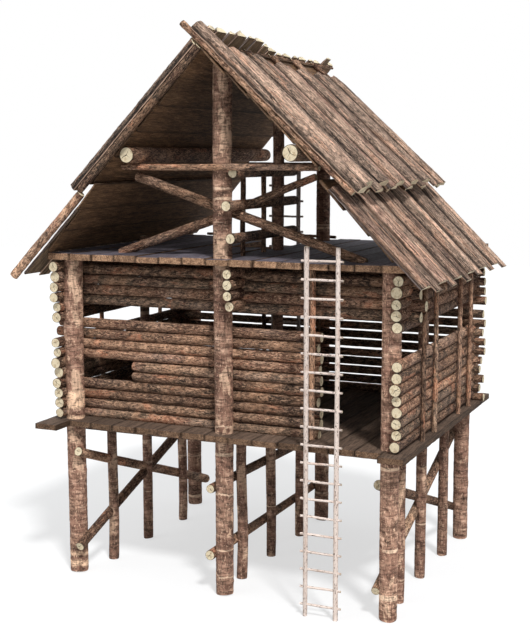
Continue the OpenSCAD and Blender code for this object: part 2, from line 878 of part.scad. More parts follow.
module roof_right_upper_slabs()
{
    length = upper_length(1);
    bark()
    on_upper(1)
    {
        slab(-290, length + 10, -roof_reach, edge_slab_width, front_slab_thickness);
        slab_row(82, right_count, -roof_reach + edge_slab_width + slab_gap, roof_reach - 1120,
                 [for (i = [0 : right_count - 1]) 290 + 250 * min(1, i / 7)], length + 20,
                 upper_thickness, [35, 50]);
    }
}

module roof_left_lower_slabs()
{
    thick = left_lower_slab_thickness;
    count = 13;
    bark()
    on_lower(-1)
    slab_row(83, count, -roof_reach + 210, roof_reach - 120, [for (i = [0 : count - 1]) -lower_length(-1)],
             40, [thick, thick - 15], [20, 40]);
}

module roof_right_lower_slabs()
{
    thick = right_lower_slab_thickness;
    count = 12;
    bark()
    on_lower(1)
    slab_row(84, count, -roof_reach, roof_reach - 720, [for (i = [0 : count - 1]) -lower_length(1)],
             40, [thick, thick - 10], [20, 40]);
}

// ---------- ladders ----------
rung_out = 90;

module ladder_poles(x, y, z0, z1)
{
    color([0.84, 0.78, 0.73])
    difference()
    {
        for (s = [-1, 1])
            log_z(z0, z1, x + s * ladder_width / 2, y, ladder_radius);
        ladder_rung_logs(x, y, z0, z1, seat);
    }
}

module ladder_rung_logs(x, y, z0, z1, extra)
{
    count = floor((z1 - z0 - 200) / rung_pitch);
    for (i = [0 : count])
        log_x(x - ladder_width / 2 - rung_out, x + ladder_width / 2 + rung_out, y,
              z0 + 200 + i * rung_pitch, rung_radius + extra);
}

module ladder_rungs(x, y, z0, z1) { color([0.84, 0.78, 0.73]) ladder_rung_logs(x, y, z0, z1, 0); }

front_ladder_x = 1880;
floor_fronts = [for (i = [11 : 13]) floor_front(i)];
attic_fronts = [for (i = [11 : 13]) attic_front(i)];
front_ladder_y = min(concat(floor_fronts, attic_fronts)) - ladder_radius - seat;
front_ladder = [front_ladder_x, front_ladder_y, 0, 5990];
back_ladder = [-430, back_ladder_y, floor_top + seat, 7140];

module front_ladder_poles() { ladder_poles(front_ladder[0], front_ladder[1], front_ladder[2], front_ladder[3]); }
module front_ladder_rungs() { ladder_rungs(front_ladder[0], front_ladder[1], front_ladder[2], front_ladder[3]); }
module back_ladder_poles() { ladder_poles(back_ladder[0], back_ladder[1], back_ladder[2], back_ladder[3]); }
module back_ladder_rungs() { ladder_rungs(back_ladder[0], back_ladder[1], back_ladder[2], back_ladder[3]); }

front_left_post();
front_centre_post();
front_right_post();
back_left_post();
back_centre_post();
back_right_post();
middle_post();
left_stilts();
centre_stilts();
right_stilts();
left_stilt_braces();
centre_stilt_braces();
right_stilt_braces();
floor_joists();
floor_boards();
front_wall_lower_logs();
front_wall_upper_logs();
back_wall_lower_logs();
back_wall_upper_logs();
left_wall_lower_logs();
left_wall_upper_logs();
right_wall_lower_logs();
right_wall_upper_logs();
centre_beams();
door_pole();
wall_battens();
attic_joists();
attic_boards();
attic_rails();
attic_rail_posts();
tie_beams();
gable_braces();
purlins();
ridge_pole();
rafters();
roof_left_boards();
roof_right_boards();
roof_left_upper_slabs();
roof_left_lower_slabs();
roof_right_upper_slabs();
roof_right_lower_slabs();
front_ladder_poles();
front_ladder_rungs();
back_ladder_poles();
back_ladder_rungs();
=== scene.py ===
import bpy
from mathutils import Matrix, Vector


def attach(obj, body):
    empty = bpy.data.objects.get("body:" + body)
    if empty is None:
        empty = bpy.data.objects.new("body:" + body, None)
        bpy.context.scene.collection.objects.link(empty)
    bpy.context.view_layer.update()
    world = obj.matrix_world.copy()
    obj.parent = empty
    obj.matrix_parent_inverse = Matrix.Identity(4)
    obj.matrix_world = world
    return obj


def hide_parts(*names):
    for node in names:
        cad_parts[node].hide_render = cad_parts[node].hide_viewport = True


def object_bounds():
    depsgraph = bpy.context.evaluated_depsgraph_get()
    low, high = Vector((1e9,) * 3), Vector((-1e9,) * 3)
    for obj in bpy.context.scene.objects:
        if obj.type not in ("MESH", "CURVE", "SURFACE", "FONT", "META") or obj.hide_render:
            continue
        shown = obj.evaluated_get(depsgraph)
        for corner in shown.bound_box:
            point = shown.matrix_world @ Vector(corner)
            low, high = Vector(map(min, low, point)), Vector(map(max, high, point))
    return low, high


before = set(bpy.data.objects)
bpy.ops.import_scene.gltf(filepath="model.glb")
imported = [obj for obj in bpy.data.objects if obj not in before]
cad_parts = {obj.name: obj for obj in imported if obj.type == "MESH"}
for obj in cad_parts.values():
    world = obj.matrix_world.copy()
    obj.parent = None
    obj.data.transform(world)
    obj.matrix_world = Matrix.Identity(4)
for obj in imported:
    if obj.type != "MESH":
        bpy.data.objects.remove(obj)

import copy
import math

import bmesh
import bpy
import numpy as np
from bpy.props import FloatProperty, FloatVectorProperty, IntProperty, PointerProperty
from mathutils import Vector

bl_info = {
    "name": "Log cabin on stilts",
    "version": (1, 0, 0),
    "blender": (4, 5, 0),
    "location": "View3D > Sidebar > Log cabin",
    "description": "Dresses a log cabin on stilts in bark, boards and split slabs",
    "category": "Object",
}

CAD_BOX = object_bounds()
UP = np.array((0.0, 0.0, 1.0))
BACKWARD = np.array((0.0, 1.0, 0.0))

# The nodes, by the kind of piece that they hold. Fullness is how thick a log is next to its solid.
# Main posts, each with the tone of its bark, from 0 for dark to 1 for pale, and its fullness.
MAIN_POSTS = {"front_left_post": (0.75, 1.20), "front_centre_post": (0.45, 1.12),
              "front_right_post": (1.0, 1.10), "back_left_post": (0.4, 1.05),
              "back_centre_post": (0.3, 1.0), "back_right_post": (0.6, 1.05)}
# Heights in metres: where the bark of the front left post is off, and where pale rings run round the front
# centre one.
PEELED_HEIGHTS = [(2.99, 3.32), (2.74, 2.84), (0.10, 0.20), (0.30, 0.36)]
RING_HEIGHTS = [2.93, 0.33, 1.75]
THIN_POSTS = ["middle_post", "left_stilts", "centre_stilts", "right_stilts"]
THIN_POST_FULLNESS = 1.22
STILT_BRACES = {"left_stilt_braces": 1.45, "centre_stilt_braces": 1.85, "right_stilt_braces": 1.35}
WALLS = ["front_wall_lower_logs", "front_wall_upper_logs", "back_wall_lower_logs", "back_wall_upper_logs",
         "left_wall_lower_logs", "left_wall_upper_logs", "right_wall_lower_logs", "right_wall_upper_logs",
         "centre_beams"]
WALL_FULLNESS = 1.07
BACK_WALL_FULLNESS = 1.16
# The two short logs of the front wall end between these places along X, and their ends are rounded.
SHORT_LOG_ENDS = (-2.1, -1.6)
WALL_POLES = ["door_pole", "wall_battens"]
JOISTS = ["floor_joists", "attic_joists"]
ATTIC_LOGS = ["attic_rails", "attic_rail_posts", "tie_beams", "gable_braces", "purlins", "ridge_pole"]
RAFTER_FULLNESS = 1.15
ROOF_BOARDS = ["roof_left_boards", "roof_right_boards"]
# How far the edges of a roof board are worn back, in metres. The floor boards have theirs as a setting.
ROOF_BOARD_WEAR = 0.004
# Upper slabs: how far the front one's upper end moves up the roof, how far a tip of half its width reaches on
# from there, and the share of its thickness that the upper end of every other slab keeps.
UPPER_SLABS = {"roof_left_upper_slabs": (0.17, 0.30, 0.66), "roof_right_upper_slabs": (-0.06, 0.0, 0.8)}
LOWER_SLABS = ["roof_left_lower_slabs", "roof_right_lower_slabs"]
LADDER_POLES = ["front_ladder_poles", "back_ladder_poles"]
LADDER_RUNGS = ["front_ladder_rungs", "back_ladder_rungs"]

# The seed of the first node of each kind. The nodes after it take the numbers that follow.
FIRST_SEED = {"posts": 100, "thin posts": 120, "braces": 140, "walls": 200, "poles": 220, "joists": 300,
              "floor": 310, "attic floor": 311, "attic": 400, "rafters": 410, "roof boards": 500,
              "upper slabs": 600, "lower slabs": 610, "ladder poles": 700, "ladder rungs": 710}

# Places in a piece's list of finishes. A board's are its top, its sawn sides and ends, and its underside.
BARK, CUT, UNDER, SPLIT = range(4)
TOP, SAWN = 0, 1


def linear(red, green, blue):
    """A colour given as it looks on a screen, in the values that a shader takes."""
    return tuple(c / 12.92 if c <= 0.04045 else ((c + 0.055) / 1.055) ** 2.4 for c in (red, green, blue))


# ---------- settings ----------
def colour_setting(name, description, red, green, blue):
    """A colour that the user can change, given as it looks on a screen."""
    return FloatVectorProperty(name=name, description=description, subtype="COLOR", min=0, max=1,
                               default=linear(red, green, blue))


def length_setting(name, description, default, least, most):
    """A length in metres that the user can change."""
    return FloatProperty(name=name, description=description, default=default, min=least, max=most,
                         unit="LENGTH")


class CABIN_PG_bark(bpy.types.PropertyGroup):
    """Bark and cut ends of the logs"""
    brown: colour_setting("Bark brown", "Main colour of the bark", 0.45, 0.335, 0.26)
    dark: colour_setting("Furrow", "Colour of the furrows in the bark", 0.13, 0.10, 0.08)
    tan: colour_setting("Flakes", "Colour of the raised flakes", 0.82, 0.66, 0.54)
    peeled: colour_setting("Peeled bark", "Colour where the outer bark has come off", 0.68, 0.46, 0.35)
    cut: colour_setting("Cut end", "Colour of the sawn ends", 0.92, 0.865, 0.745)
    relief: length_setting("Relief", "Depth of the bark on a wall log", 0.006, 0, 0.02)
    post_relief: length_setting("Post relief", "Depth of the bark on a main post", 0.008, 0, 0.02)
    ring_step: length_setting("Ring step", "Distance between the rings of a log's mesh", 0.055, 0.02, 0.3)
    sides: IntProperty(name="Sides", description="Sides of a wall log's mesh", default=20, min=8, max=48)
    post_sides: IntProperty(name="Post sides", description="Sides of a main post's mesh", default=32, min=8,
                            max=64)
    knots: FloatProperty(name="Knots", description="Knots on one metre of log", default=1.3, min=0, max=6)


class CABIN_PG_boards(bpy.types.PropertyGroup):
    """Boards of the floors and the roof"""
    attic: colour_setting("Attic boards", "Colour of the tops of the attic boards", 0.385, 0.36, 0.395)
    floor: colour_setting("Floor boards", "Colour of the lower floor", 0.38, 0.31, 0.26)
    roof: colour_setting("Roof boards", "Colour of the boards under the roof", 0.37, 0.27, 0.185)
    sawn: colour_setting("Sawn sides", "Colour of the sawn sides and ends", 0.50, 0.38, 0.29)
    wear: length_setting("Wear", "How far the edges of a floor board are worn back", 0.007, 0, 0.02)
    spacing: length_setting("Spacing", "Distance between the cross lines of a board's mesh", 0.11, 0.03, 0.5)


class CABIN_PG_slabs(bpy.types.PropertyGroup):
    """Split slabs that cover the roof"""
    edge: colour_setting("Slab edge", "Colour of the thin split edges", 0.68, 0.56, 0.48)
    waviness: length_setting("Wavy edges", "How far the edges of a slab wander", 0.016, 0, 0.04)
    relief: length_setting("Relief", "Depth of the bark on a slab", 0.012, 0, 0.03)
    lip: length_setting("Lip", "Thickness of the split edges of a slab", 0.022, 0, 0.04)
    ring_step: length_setting("Ring step", "Distance between the rings of a slab's mesh", 0.06, 0.02, 0.3)
    sides: IntProperty(name="Sides", description="Sides of a slab's round face", default=18, min=6, max=40)


class CABIN_PG_ladders(bpy.types.PropertyGroup):
    """Peeled poles of the ladders"""
    wood: colour_setting("Peeled wood", "Colour of the peeled ladder poles", 0.95, 0.89, 0.85)
    fleck: colour_setting("Bark flecks", "Colour of the bark left on the poles", 0.36, 0.28, 0.24)
    relief: length_setting("Relief", "Unevenness of the poles", 0.004, 0, 0.01)


class CABIN_PG_stage(bpy.types.PropertyGroup):
    """Floor, lights and camera"""
    camera_place: FloatVectorProperty(name="Camera", description="Place of the camera", subtype="TRANSLATION",
                                      default=(8.448, -19.807, 7.388), unit="LENGTH")
    camera_tilt: FloatProperty(name="Tilt", description="How far the camera looks down", subtype="ANGLE",
                               default=math.radians(7.87))
    camera_turn: FloatProperty(name="Turn", description="How far the camera is turned to the left",
                               subtype="ANGLE", default=math.radians(23.73))
    lens: FloatProperty(name="Lens", description="Focal length in millimetres", default=66.9, min=20, max=200)
    sky: FloatProperty(name="Sky", description="Strength of the light from all round", default=0.60, min=0,
                       max=3)
    key: FloatProperty(name="Key light", description="Strength of the main light", default=2.8, min=0, max=10)
    fill: FloatProperty(name="Fill light", description="Strength of the wide light from the other side",
                        default=0.35, min=0, max=10)
    floor: colour_setting("Floor", "Colour of the floor in the studio light", 0.74, 0.74, 0.74)


# ---------- shader maths ----------
class Wire:
    """A value in a material, with the usual operators."""

    def __init__(self, finish, socket):
        self.finish = finish
        self.socket = socket

    def maths(self, operation, *values):
        """A Math node on the values, in their order."""
        return self.finish.node("ShaderNodeMath", {"operation": operation}, dict(enumerate(values)))

    def __add__(self, other):
        return self.maths("ADD", self, other)

    __radd__ = __add__

    def __sub__(self, other):
        return self.maths("SUBTRACT", self, other)

    def __rsub__(self, other):
        return self.maths("SUBTRACT", other, self)

    def __mul__(self, other):
        return self.maths("MULTIPLY", self, other)

    __rmul__ = __mul__

    def __truediv__(self, other):
        return self.maths("DIVIDE", self, other)

    def __rtruediv__(self, other):
        return self.maths("DIVIDE", other, self)

    def __pow__(self, other):
        return self.maths("POWER", self, other)

    def __abs__(self):
        return self.maths("ABSOLUTE", self)

    def most(self, other):
        """The greater of two values."""
        return self.maths("MAXIMUM", self, other)

    def sine(self):
        return self.maths("SINE", self)

    def cosine(self):
        return self.maths("COSINE", self)

    def rise(self, low, high):
        """0 below low, 1 above high, and smooth between them."""
        return self.finish.node("ShaderNodeMapRange", {"interpolation_type": "SMOOTHSTEP"},
                                {"Value": self, "From Min": low, "From Max": high})

    def scaled(self, along, across, up):
        """A vector times three numbers."""
        return self.finish.node("ShaderNodeVectorMath", {"operation": "MULTIPLY"},
                                {0: self, 1: (along, across, up)})

    def part(self, index):
        """One of the three parts of a vector."""
        return self.finish.node("ShaderNodeSeparateXYZ", {}, {"Vector": self}, index)


class Finish:
    """The nodes of a material, or of the world, under construction."""

    def __init__(self, owner):
        self.owner = owner
        owner.use_nodes = True
        self.tree = owner.node_tree
        self.tree.nodes.clear()

    def node(self, kind, settings=None, values=None, output=0):
        """Makes a node: its settings first, then the values and links of its sockets. Returns one output."""
        made = self.tree.nodes.new(kind)
        for key, value in (settings or {}).items():
            if key == "stops":
                ramp = made.color_ramp
                while len(ramp.elements) < len(value):
                    ramp.elements.new(0.5)
                for element, (place, colour) in zip(ramp.elements, value):
                    element.position = place
                    element.color = (*colour, 1)
            else:
                setattr(made, key, value)
        for key, value in (values or {}).items():
            if isinstance(value, Wire):
                self.tree.links.new(value.socket, made.inputs[key])
            else:
                made.inputs[key].default_value = value
        return Wire(self, made.outputs[output]) if len(made.outputs) else None

    def attribute(self, name):
        """A surface value of the mesh, as a vector."""
        return self.node("ShaderNodeAttribute", {"attribute_name": name}, {}, "Vector")

    def noise(self, place, scale, detail=4, roughness=0.55, distortion=0.0):
        return self.node("ShaderNodeTexNoise", {}, {"Vector": place, "Scale": scale, "Detail": detail,
                                                    "Roughness": roughness, "Distortion": distortion})

    def colour(self, value):
        """A fixed colour or a wire, as a colour socket takes it."""
        return value if isinstance(value, Wire) else (*value[:3], 1)

    def mix(self, factor, first, second, blend="MIX"):
        """Two colours mixed: the first where the factor is 0, the second where it is 1."""
        return self.node("ShaderNodeMix", {"data_type": "RGBA", "blend_type": blend},
                         {0: factor, 6: self.colour(first), 7: self.colour(second)}, 2)

    def ramp(self, factor, *stops):
        """A colour ramp. Each stop is a place and a colour."""
        return self.node("ShaderNodeValToRGB", {"stops": stops}, {"Fac": factor})

    def shade(self, colour, value):
        """A colour made lighter or darker by a value."""
        grey = self.node("ShaderNodeCombineColor", {}, {"Red": value, "Green": value, "Blue": value})
        return self.mix(1.0, colour, grey, "MULTIPLY")

    def close(self, colour, roughness, height, strength, distance, specular=0.25):
        """Ends the material in its shader, with a bump from the height, and returns it."""
        bump = self.node("ShaderNodeBump", {}, {"Strength": strength, "Distance": distance, "Height": height})
        surface = self.node("ShaderNodeBsdfPrincipled", {}, {"Base Color": colour, "Roughness": roughness,
                                                             "Specular IOR Level": specular, "Normal": bump})
        self.node("ShaderNodeOutputMaterial", {}, {"Surface": surface})
        return self.owner


# ---------- finishes ----------
# Surface values of every mesh: grain is the place on the piece, along it first. Tone holds the lot, a number
# from 0 to 1 that each log or board has for itself, then how proud the bark stands, which the finishes paint as
# shade in the furrows, then how near the edge of a board or slab is, which they paint as shade along the edges.
# Cut is the place on a sawn end, from -1 to 1 twice, and the end's own seed.
def bark_layers(f, grain, base, dark, light, speck=0.85, fleck=0.75):
    """The fine speckle that all bark shares: dark pits and light flakes over a mottled base."""
    flakes = f.noise(grain.scaled(0.34, 1, 1), 40, 4, 0.7, 0.6)
    pits = f.noise(grain.scaled(0.34, 1, 1), 58, 3, 0.7, 0.5)
    scales = f.noise(grain.scaled(0.26, 1, 1), 50, 3, 0.7, 0.8)
    colour = f.mix(flakes.rise(0.46, 0.62) * 0.45, base, light)
    colour = f.mix(pits.rise(0.52, 0.58) * speck, colour, dark)
    colour = f.mix(scales.rise(0.56, 0.61) * fleck, colour, light)
    return colour, 0.5 * flakes - 0.8 * pits.rise(0.50, 0.60) + 0.4 * scales


def bark_finish(name, bark, light=1.0, peel=0.5):
    """Mottled bark: pits and flakes drawn out along the log, with patches where it has peeled."""
    f = Finish(bpy.data.materials.new(name))
    grain = f.attribute("grain")
    tone = f.attribute("tone")
    lot, proud = tone.part(0), tone.part(1)
    lumps = f.noise(grain.scaled(0.30, 1, 1), 6.5, 4, 0.6, 0.5)
    patch = f.noise(grain.scaled(0.34, 1, 1), 3.2, 4, 0.6, 0.6)
    # Mottle is paler where the bark stands proud: painted highlight on the crests and painted shade in the
    # furrows.
    mottle = 0.80 * lumps + 0.16 * (lot - 0.5) + 0.14 * (proud - 0.5) + 0.10
    base = f.ramp(mottle, (0.38, linear(0.22, 0.165, 0.135)), (0.49, bark.brown),
                  (0.60, linear(0.52, 0.39, 0.31)), (0.70, bark.tan))
    kind = (lot * 29.0).sine()
    base = f.mix(kind.rise(0.25, 0.8) * 0.40, base, linear(0.40, 0.25, 0.20))
    base = f.mix((0 - kind).rise(0.35, 0.9) * 0.40, base, linear(0.42, 0.39, 0.34))
    section = f.noise(grain.scaled(1, 0.2, 0.2), 1.6, 3, 0.6, 0.2)
    base = f.mix(section.rise(0.54, 0.60) * 0.65, base, linear(0.34, 0.22, 0.18))
    base = f.mix((1 - section).rise(0.56, 0.62) * 0.60, base, linear(0.66, 0.50, 0.39))
    bare = patch.rise(0.64 - 0.10 * peel, 0.66 - 0.08 * peel)
    base = f.mix(bare * 0.8, base, bark.peeled)
    grey = f.noise(grain.scaled(0.4, 1, 1), 1.7, 2).rise(0.50, 0.66)
    greyed = f.ramp(mottle, (0.38, linear(0.21, 0.18, 0.17)), (0.62, linear(0.52, 0.47, 0.44)))
    base = f.mix(grey * 0.45, base, greyed)
    colour, height = bark_layers(f, grain, base, bark.dark, bark.tan)
    # Painted shade: the colour darkens where the bark sinks into its furrows. Each log's lot sets its own tone,
    # and light scales the whole.
    colour = f.shade(colour, (0.70 + 0.58 * lot) * (0.62 + 0.46 * proud.rise(0.05, 0.6)) * light)
    return f.close(colour, 0.80 + 0.15 * lumps, 0.4 * lumps + 0.6 * height, 0.8, 0.022)


def post_finish(name, bark, light=1.0, peeled=(), rings=()):
    """Post bark: smoother and redder, banded round the post, with pale peeled places and thin upright cracks.
    The bark is off between each pair of peeled heights, and a thin pale ring runs at each height of rings."""
    f = Finish(bpy.data.materials.new(name))
    grain = f.attribute("grain")
    tone = f.attribute("tone")
    lot, proud = tone.part(0), tone.part(1)
    lumps = f.noise(grain.scaled(0.45, 1, 1), 4.5, 4, 0.6, 0.5)
    bands = f.noise(grain.scaled(1, 0.12, 0.12), 16, 4, 0.65, 0.6)
    wide = f.noise(grain.scaled(1, 0.25, 0.25), 2.4, 3, 0.55, 0.3)
    # Mottle is paler where the bark stands proud: painted highlight on the crests and painted shade in the
    # furrows.
    mottle = 0.30 * lumps + 0.52 * bands + 0.10 * (proud - 0.5) + 0.09
    base = f.ramp(mottle, (0.37, linear(0.32, 0.24, 0.20)), (0.46, linear(0.50, 0.38, 0.315)),
                  (0.55, linear(0.65, 0.51, 0.43)), (0.64, linear(0.86, 0.72, 0.62)))
    base = f.mix(wide.rise(0.42, 0.56) * 0.45, base, linear(0.46, 0.32, 0.27))
    bare = f.noise(grain.scaled(0.5, 1, 1), 2.6, 4, 0.6, 0.5)
    base = f.mix(bare.rise(0.56, 0.60) * 0.75, base, linear(0.84, 0.70, 0.59))
    ring = f.noise(grain.scaled(1, 0.05, 0.05), 7, 2, 0.5)
    base = f.mix(ring.rise(0.665, 0.70) * 0.8, base, linear(0.88, 0.76, 0.65))
    level = f.node("ShaderNodeNewGeometry", {}, {}, "Position").part(2) + 0.30 * (lumps - 0.5)
    blur = 0.03
    for low, high in peeled:
        between = level.rise(low - blur, low + blur) * (1 - level.rise(high - blur, high + blur))
        base = f.mix(between * bare.rise(0.36, 0.46) * 0.8, base, linear(0.93, 0.78, 0.65))
    for ring_level in rings:
        line = 1 - abs(level - ring_level).rise(0.008, 0.022)
        base = f.mix(line * 0.75, base, linear(0.88, 0.76, 0.65))
    scars = f.noise(grain.scaled(1, 0.22, 0.22), 36, 3, 0.6, 0.4)
    cracks = f.noise(grain.scaled(0.14, 1, 1), 38, 4, 0.65, 0.4)
    flakes = f.noise(grain.scaled(0.6, 1, 1), 34, 4, 0.7, 0.5)
    colour = f.mix(scars.rise(0.52, 0.60) * 0.65, base, linear(0.24, 0.17, 0.14))
    colour = f.mix(cracks.rise(0.60, 0.66) * 0.60, colour, bark.dark)
    colour = f.mix(flakes.rise(0.56, 0.64) * 0.65, colour, linear(0.86, 0.72, 0.61))
    # Painted shade: the colour darkens where the post's bark sinks into its furrows. Each post's lot sets its
    # own tone.
    colour = f.shade(colour, (0.80 + 0.50 * lot) * (0.74 + 0.32 * proud.rise(0.05, 0.6)) * light)
    height = 0.35 * bands + 0.30 * scars - 0.8 * cracks.rise(0.52, 0.62) + 0.35 * flakes
    return f.close(colour, 0.76 + 0.15 * lumps, height, 0.8, 0.02)


def cut_finish(name, bark):
    """A sawn end: cream wood with rings, a wide crack from the heart, thin cracks and a dark rim of bark."""
    f = Finish(bpy.data.materials.new(name))
    cut = f.attribute("cut")
    across, up, seed = cut.part(0), cut.part(1), cut.part(2)
    reach = (across * across + up * up) ** 0.5
    place = f.node("ShaderNodeCombineXYZ", {}, {"X": across, "Y": up, "Z": seed * 7.3})
    wobble = f.noise(place, 2.2, 3)
    rings = ((reach + 0.10 * wobble) * 48).sine() * 0.5 + 0.5
    stain = f.noise(place, 1.6, 4, 0.6)
    colour = f.mix(rings * 0.35, bark.cut, linear(0.66, 0.56, 0.41))
    colour = f.mix(stain.rise(0.45, 0.68) * 0.6, colour, linear(0.64, 0.52, 0.37))
    colour = f.mix(f.noise(place, 15, 4, 0.65).rise(0.50, 0.68) * 0.45, colour, linear(0.52, 0.43, 0.32))
    cracks = None
    # Each crack: its turn round the heart, how far out it runs and its width, as shares of the radius.
    for turn, length, width in ((0.0, 1.0, 0.085), (0.5, 0.9, 0.030), (2.6, 0.9, 0.045), (4.3, 0.8, 0.028)):
        angle = seed * 31.0 + turn + 0.5 * wobble
        along = across * angle.cosine() + up * angle.sine()
        aside = abs(up * angle.cosine() - across * angle.sine())
        wide = (width * (1.08 - reach)).most(0.006)
        crack = (1 - (aside / wide).rise(0.5, 1.1)) * along.rise(-0.08, 0.04)
        crack = crack * (1 - reach.rise(length - 0.15, length))
        cracks = crack if cracks is None else cracks.most(crack)
    cracks = cracks * (seed * 17.0).sine().rise(-0.9, -0.1)
    colour = f.mix(cracks * 0.9, colour, linear(0.17, 0.13, 0.09))
    rim = reach.rise(0.90, 0.97)
    colour = f.mix(rim, colour, bark.dark)
    return f.close(colour, 0.8 + 0.1 * rings, 0.3 * rings - cracks + 0.3 * wobble, 0.5, 0.004, 0.2)


def board_finish(name, colour, deep, pale, light=1.0, streak=0.5, knots=0.35):
    """Weathered rough-sawn boards with long grain, dark streaks and a few knots, and painted shade darkening
    the edges.
    """
    f = Finish(bpy.data.materials.new(name))
    grain = f.attribute("grain")
    tone = f.attribute("tone")
    lot, edge = tone.part(0), tone.part(2)
    fibre = f.noise(grain.scaled(0.08, 1, 1), 60, 5, 0.65, 0.3)
    bands = f.noise(grain.scaled(0.10, 1, 1), 12, 4, 0.55, 0.4)
    specks = f.noise(grain.scaled(0.55, 1, 1), 48, 4, 0.7, 0.3)
    blotch = f.noise(grain.scaled(0.5, 1, 1), 2.6, 3)
    body = 0.42 * fibre + 0.24 * bands + 0.34 * specks
    tint = f.ramp(body, (0.40, deep), (0.50, colour), (0.60, pale))
    tint = f.mix(specks.rise(0.54, 0.64) * streak, tint, deep)
    tint = f.mix(bands.rise(0.60, 0.68) * knots, tint, linear(0.14, 0.11, 0.09))
    # Painted shade: the colour darkens towards the long edges of each board, where the boards meet.
    shadow = 1 - 0.55 * edge.rise(0.80, 1.0)
    # Light scales the whole colour of a copy of this finish. The attic and floor board ends use it as painted
    # light and painted shade.
    tint = f.shade(tint, (0.72 + 0.50 * lot) * (0.76 + 0.48 * blotch) * shadow * light)
    return f.close(tint, 0.72 + 0.2 * specks, 0.5 * fibre + 0.2 * bands + 0.5 * specks, 0.8, 0.018)


def slab_finish(name, light=1.0, warm=0.0):
    """The outside of a split slab: bark with long bands, peeled pinkish patches and painted shade on its lower
    edges.
    """
    f = Finish(bpy.data.materials.new(name))
    grain = f.attribute("grain")
    tone = f.attribute("tone")
    lot, proud, edge = tone.part(0), tone.part(1), tone.part(2)
    bands = f.noise(grain.scaled(0.05, 1, 1), 26, 4, 0.6, 0.25)
    lumps = f.noise(grain.scaled(0.20, 1, 1), 7.5, 4, 0.6, 0.5)
    patch = f.noise(grain.scaled(0.18, 1, 1), 5.0, 4, 0.62, 0.7)
    # Mottle and the shade below are paler where the bark stands proud: painted highlight on the crests and
    # painted shade in the furrows.
    mottle = 0.34 * lumps + 0.46 * bands + 0.24 * (lot - 0.5) + 0.10 * (proud - 0.5) + 0.10
    base = f.ramp(mottle, (0.36, linear(0.24, 0.19, 0.165)), (0.46, linear(0.45, 0.365, 0.31)),
                  (0.55, linear(0.58, 0.475, 0.41)), (0.65, linear(0.84, 0.71, 0.62)))
    kind = (lot * 41.0).sine()
    base = f.mix(kind.rise(0.10, 0.7) * 0.55, base, linear(0.63, 0.45, 0.39))
    base = f.mix((0 - kind).rise(0.20, 0.8) * 0.55, base, linear(0.33, 0.295, 0.27))
    bare = patch.rise(0.58 - 0.04 * warm, 0.60 - 0.04 * warm)
    base = f.mix(bare * 0.75, base, linear(0.80, 0.61, 0.50))
    colour, height = bark_layers(f, grain, base, linear(0.14, 0.105, 0.09), linear(0.88, 0.74, 0.64),
                                 0.70, 0.65)
    streak = f.noise(grain.scaled(0.05, 1, 1), 62, 3, 0.6, 0.2)
    crack = f.noise(grain.scaled(0.03, 1, 1), 26, 3, 0.6, 0.2)
    colour = f.mix(streak.rise(0.56, 0.62) * 0.65, colour, linear(0.90, 0.77, 0.67))
    colour = f.mix((1 - streak).rise(0.56, 0.62) * 0.65, colour, linear(0.15, 0.115, 0.10))
    colour = f.mix(crack.rise(0.59, 0.63) * 0.85, colour, linear(0.12, 0.09, 0.08))
    # Painted shade: the colour darkens towards both edges of each slab, where the slabs meet.
    shadow = 1 - 0.80 * edge.rise(0.62, 0.90)
    colour = f.shade(colour, (0.68 + 0.36 * proud.rise(0.05, 0.6)) * shadow * (0.78 + 0.40 * lot) * light)
    height = 0.3 * lumps + 0.5 * height + 0.5 * streak - 0.6 * crack.rise(0.56, 0.64)
    return f.close(colour, 0.80 + 0.15 * lumps, height, 0.8, 0.022)


def split_finish(name, slabs, cream=0.0):
    """Split or sawn wood of a slab: pale pinkish or bluish on its edges, creamier on its ends."""
    f = Finish(bpy.data.materials.new(name))
    grain = f.attribute("grain")
    lot = f.attribute("tone").part(0)
    streaks = f.noise(grain.scaled(0.12, 1, 1), 40, 4, 0.6, 0.3)
    worn = f.noise(grain.scaled(0.20, 1, 1), 5, 3, 0.6)
    cold = (lot * 53.0).sine().rise(0.1 + cream, 0.5 + cream)
    pale = tuple((1 - cream) * a + cream * b for a, b in zip(slabs.edge, linear(0.93, 0.87, 0.74)))
    colour = f.mix(cold, pale, linear(0.46, 0.41, 0.39))
    colour = f.mix(worn.rise(0.46, 0.58) * (0.70 - 0.35 * cream), colour, linear(0.36, 0.29, 0.25))
    colour = f.mix(streaks.rise(0.5, 0.66) * (0.55 - 0.15 * cream), colour, linear(0.30, 0.24, 0.21))
    return f.close(colour, 0.7 + 0.2 * streaks, streaks, 0.6, 0.008)


def ladder_finish(name, ladders):
    """Peeled pole: whitish pink wood with grey-brown specks of bark left on it."""
    f = Finish(bpy.data.materials.new(name))
    grain = f.attribute("grain")
    tone = f.attribute("tone")
    lot, proud = tone.part(0), tone.part(1)
    fibre = f.noise(grain.scaled(0.06, 1, 1), 130, 4, 0.6)
    specks = f.noise(grain.scaled(0.35, 1, 1), 52, 4, 0.62, 0.4)
    blotch = f.noise(grain.scaled(0.30, 1, 1), 11, 3, 0.5, 0.4)
    colour = f.mix(fibre.rise(0.35, 0.65), linear(0.87, 0.79, 0.74), ladders.wood)
    colour = f.mix(blotch.rise(0.55, 0.70) * 0.45, colour, linear(0.74, 0.60, 0.52))
    colour = f.mix(specks.rise(0.57, 0.62) * 0.9, colour, ladders.fleck)
    # Painted shade: the wood darkens where the pole's surface sinks. Each pole's lot sets its own tone.
    colour = f.shade(colour, (0.90 + 0.16 * lot) * (0.85 + 0.15 * proud))
    return f.close(colour, 0.66 + 0.2 * specks, 0.5 * fibre - 0.5 * specks, 0.5, 0.006)


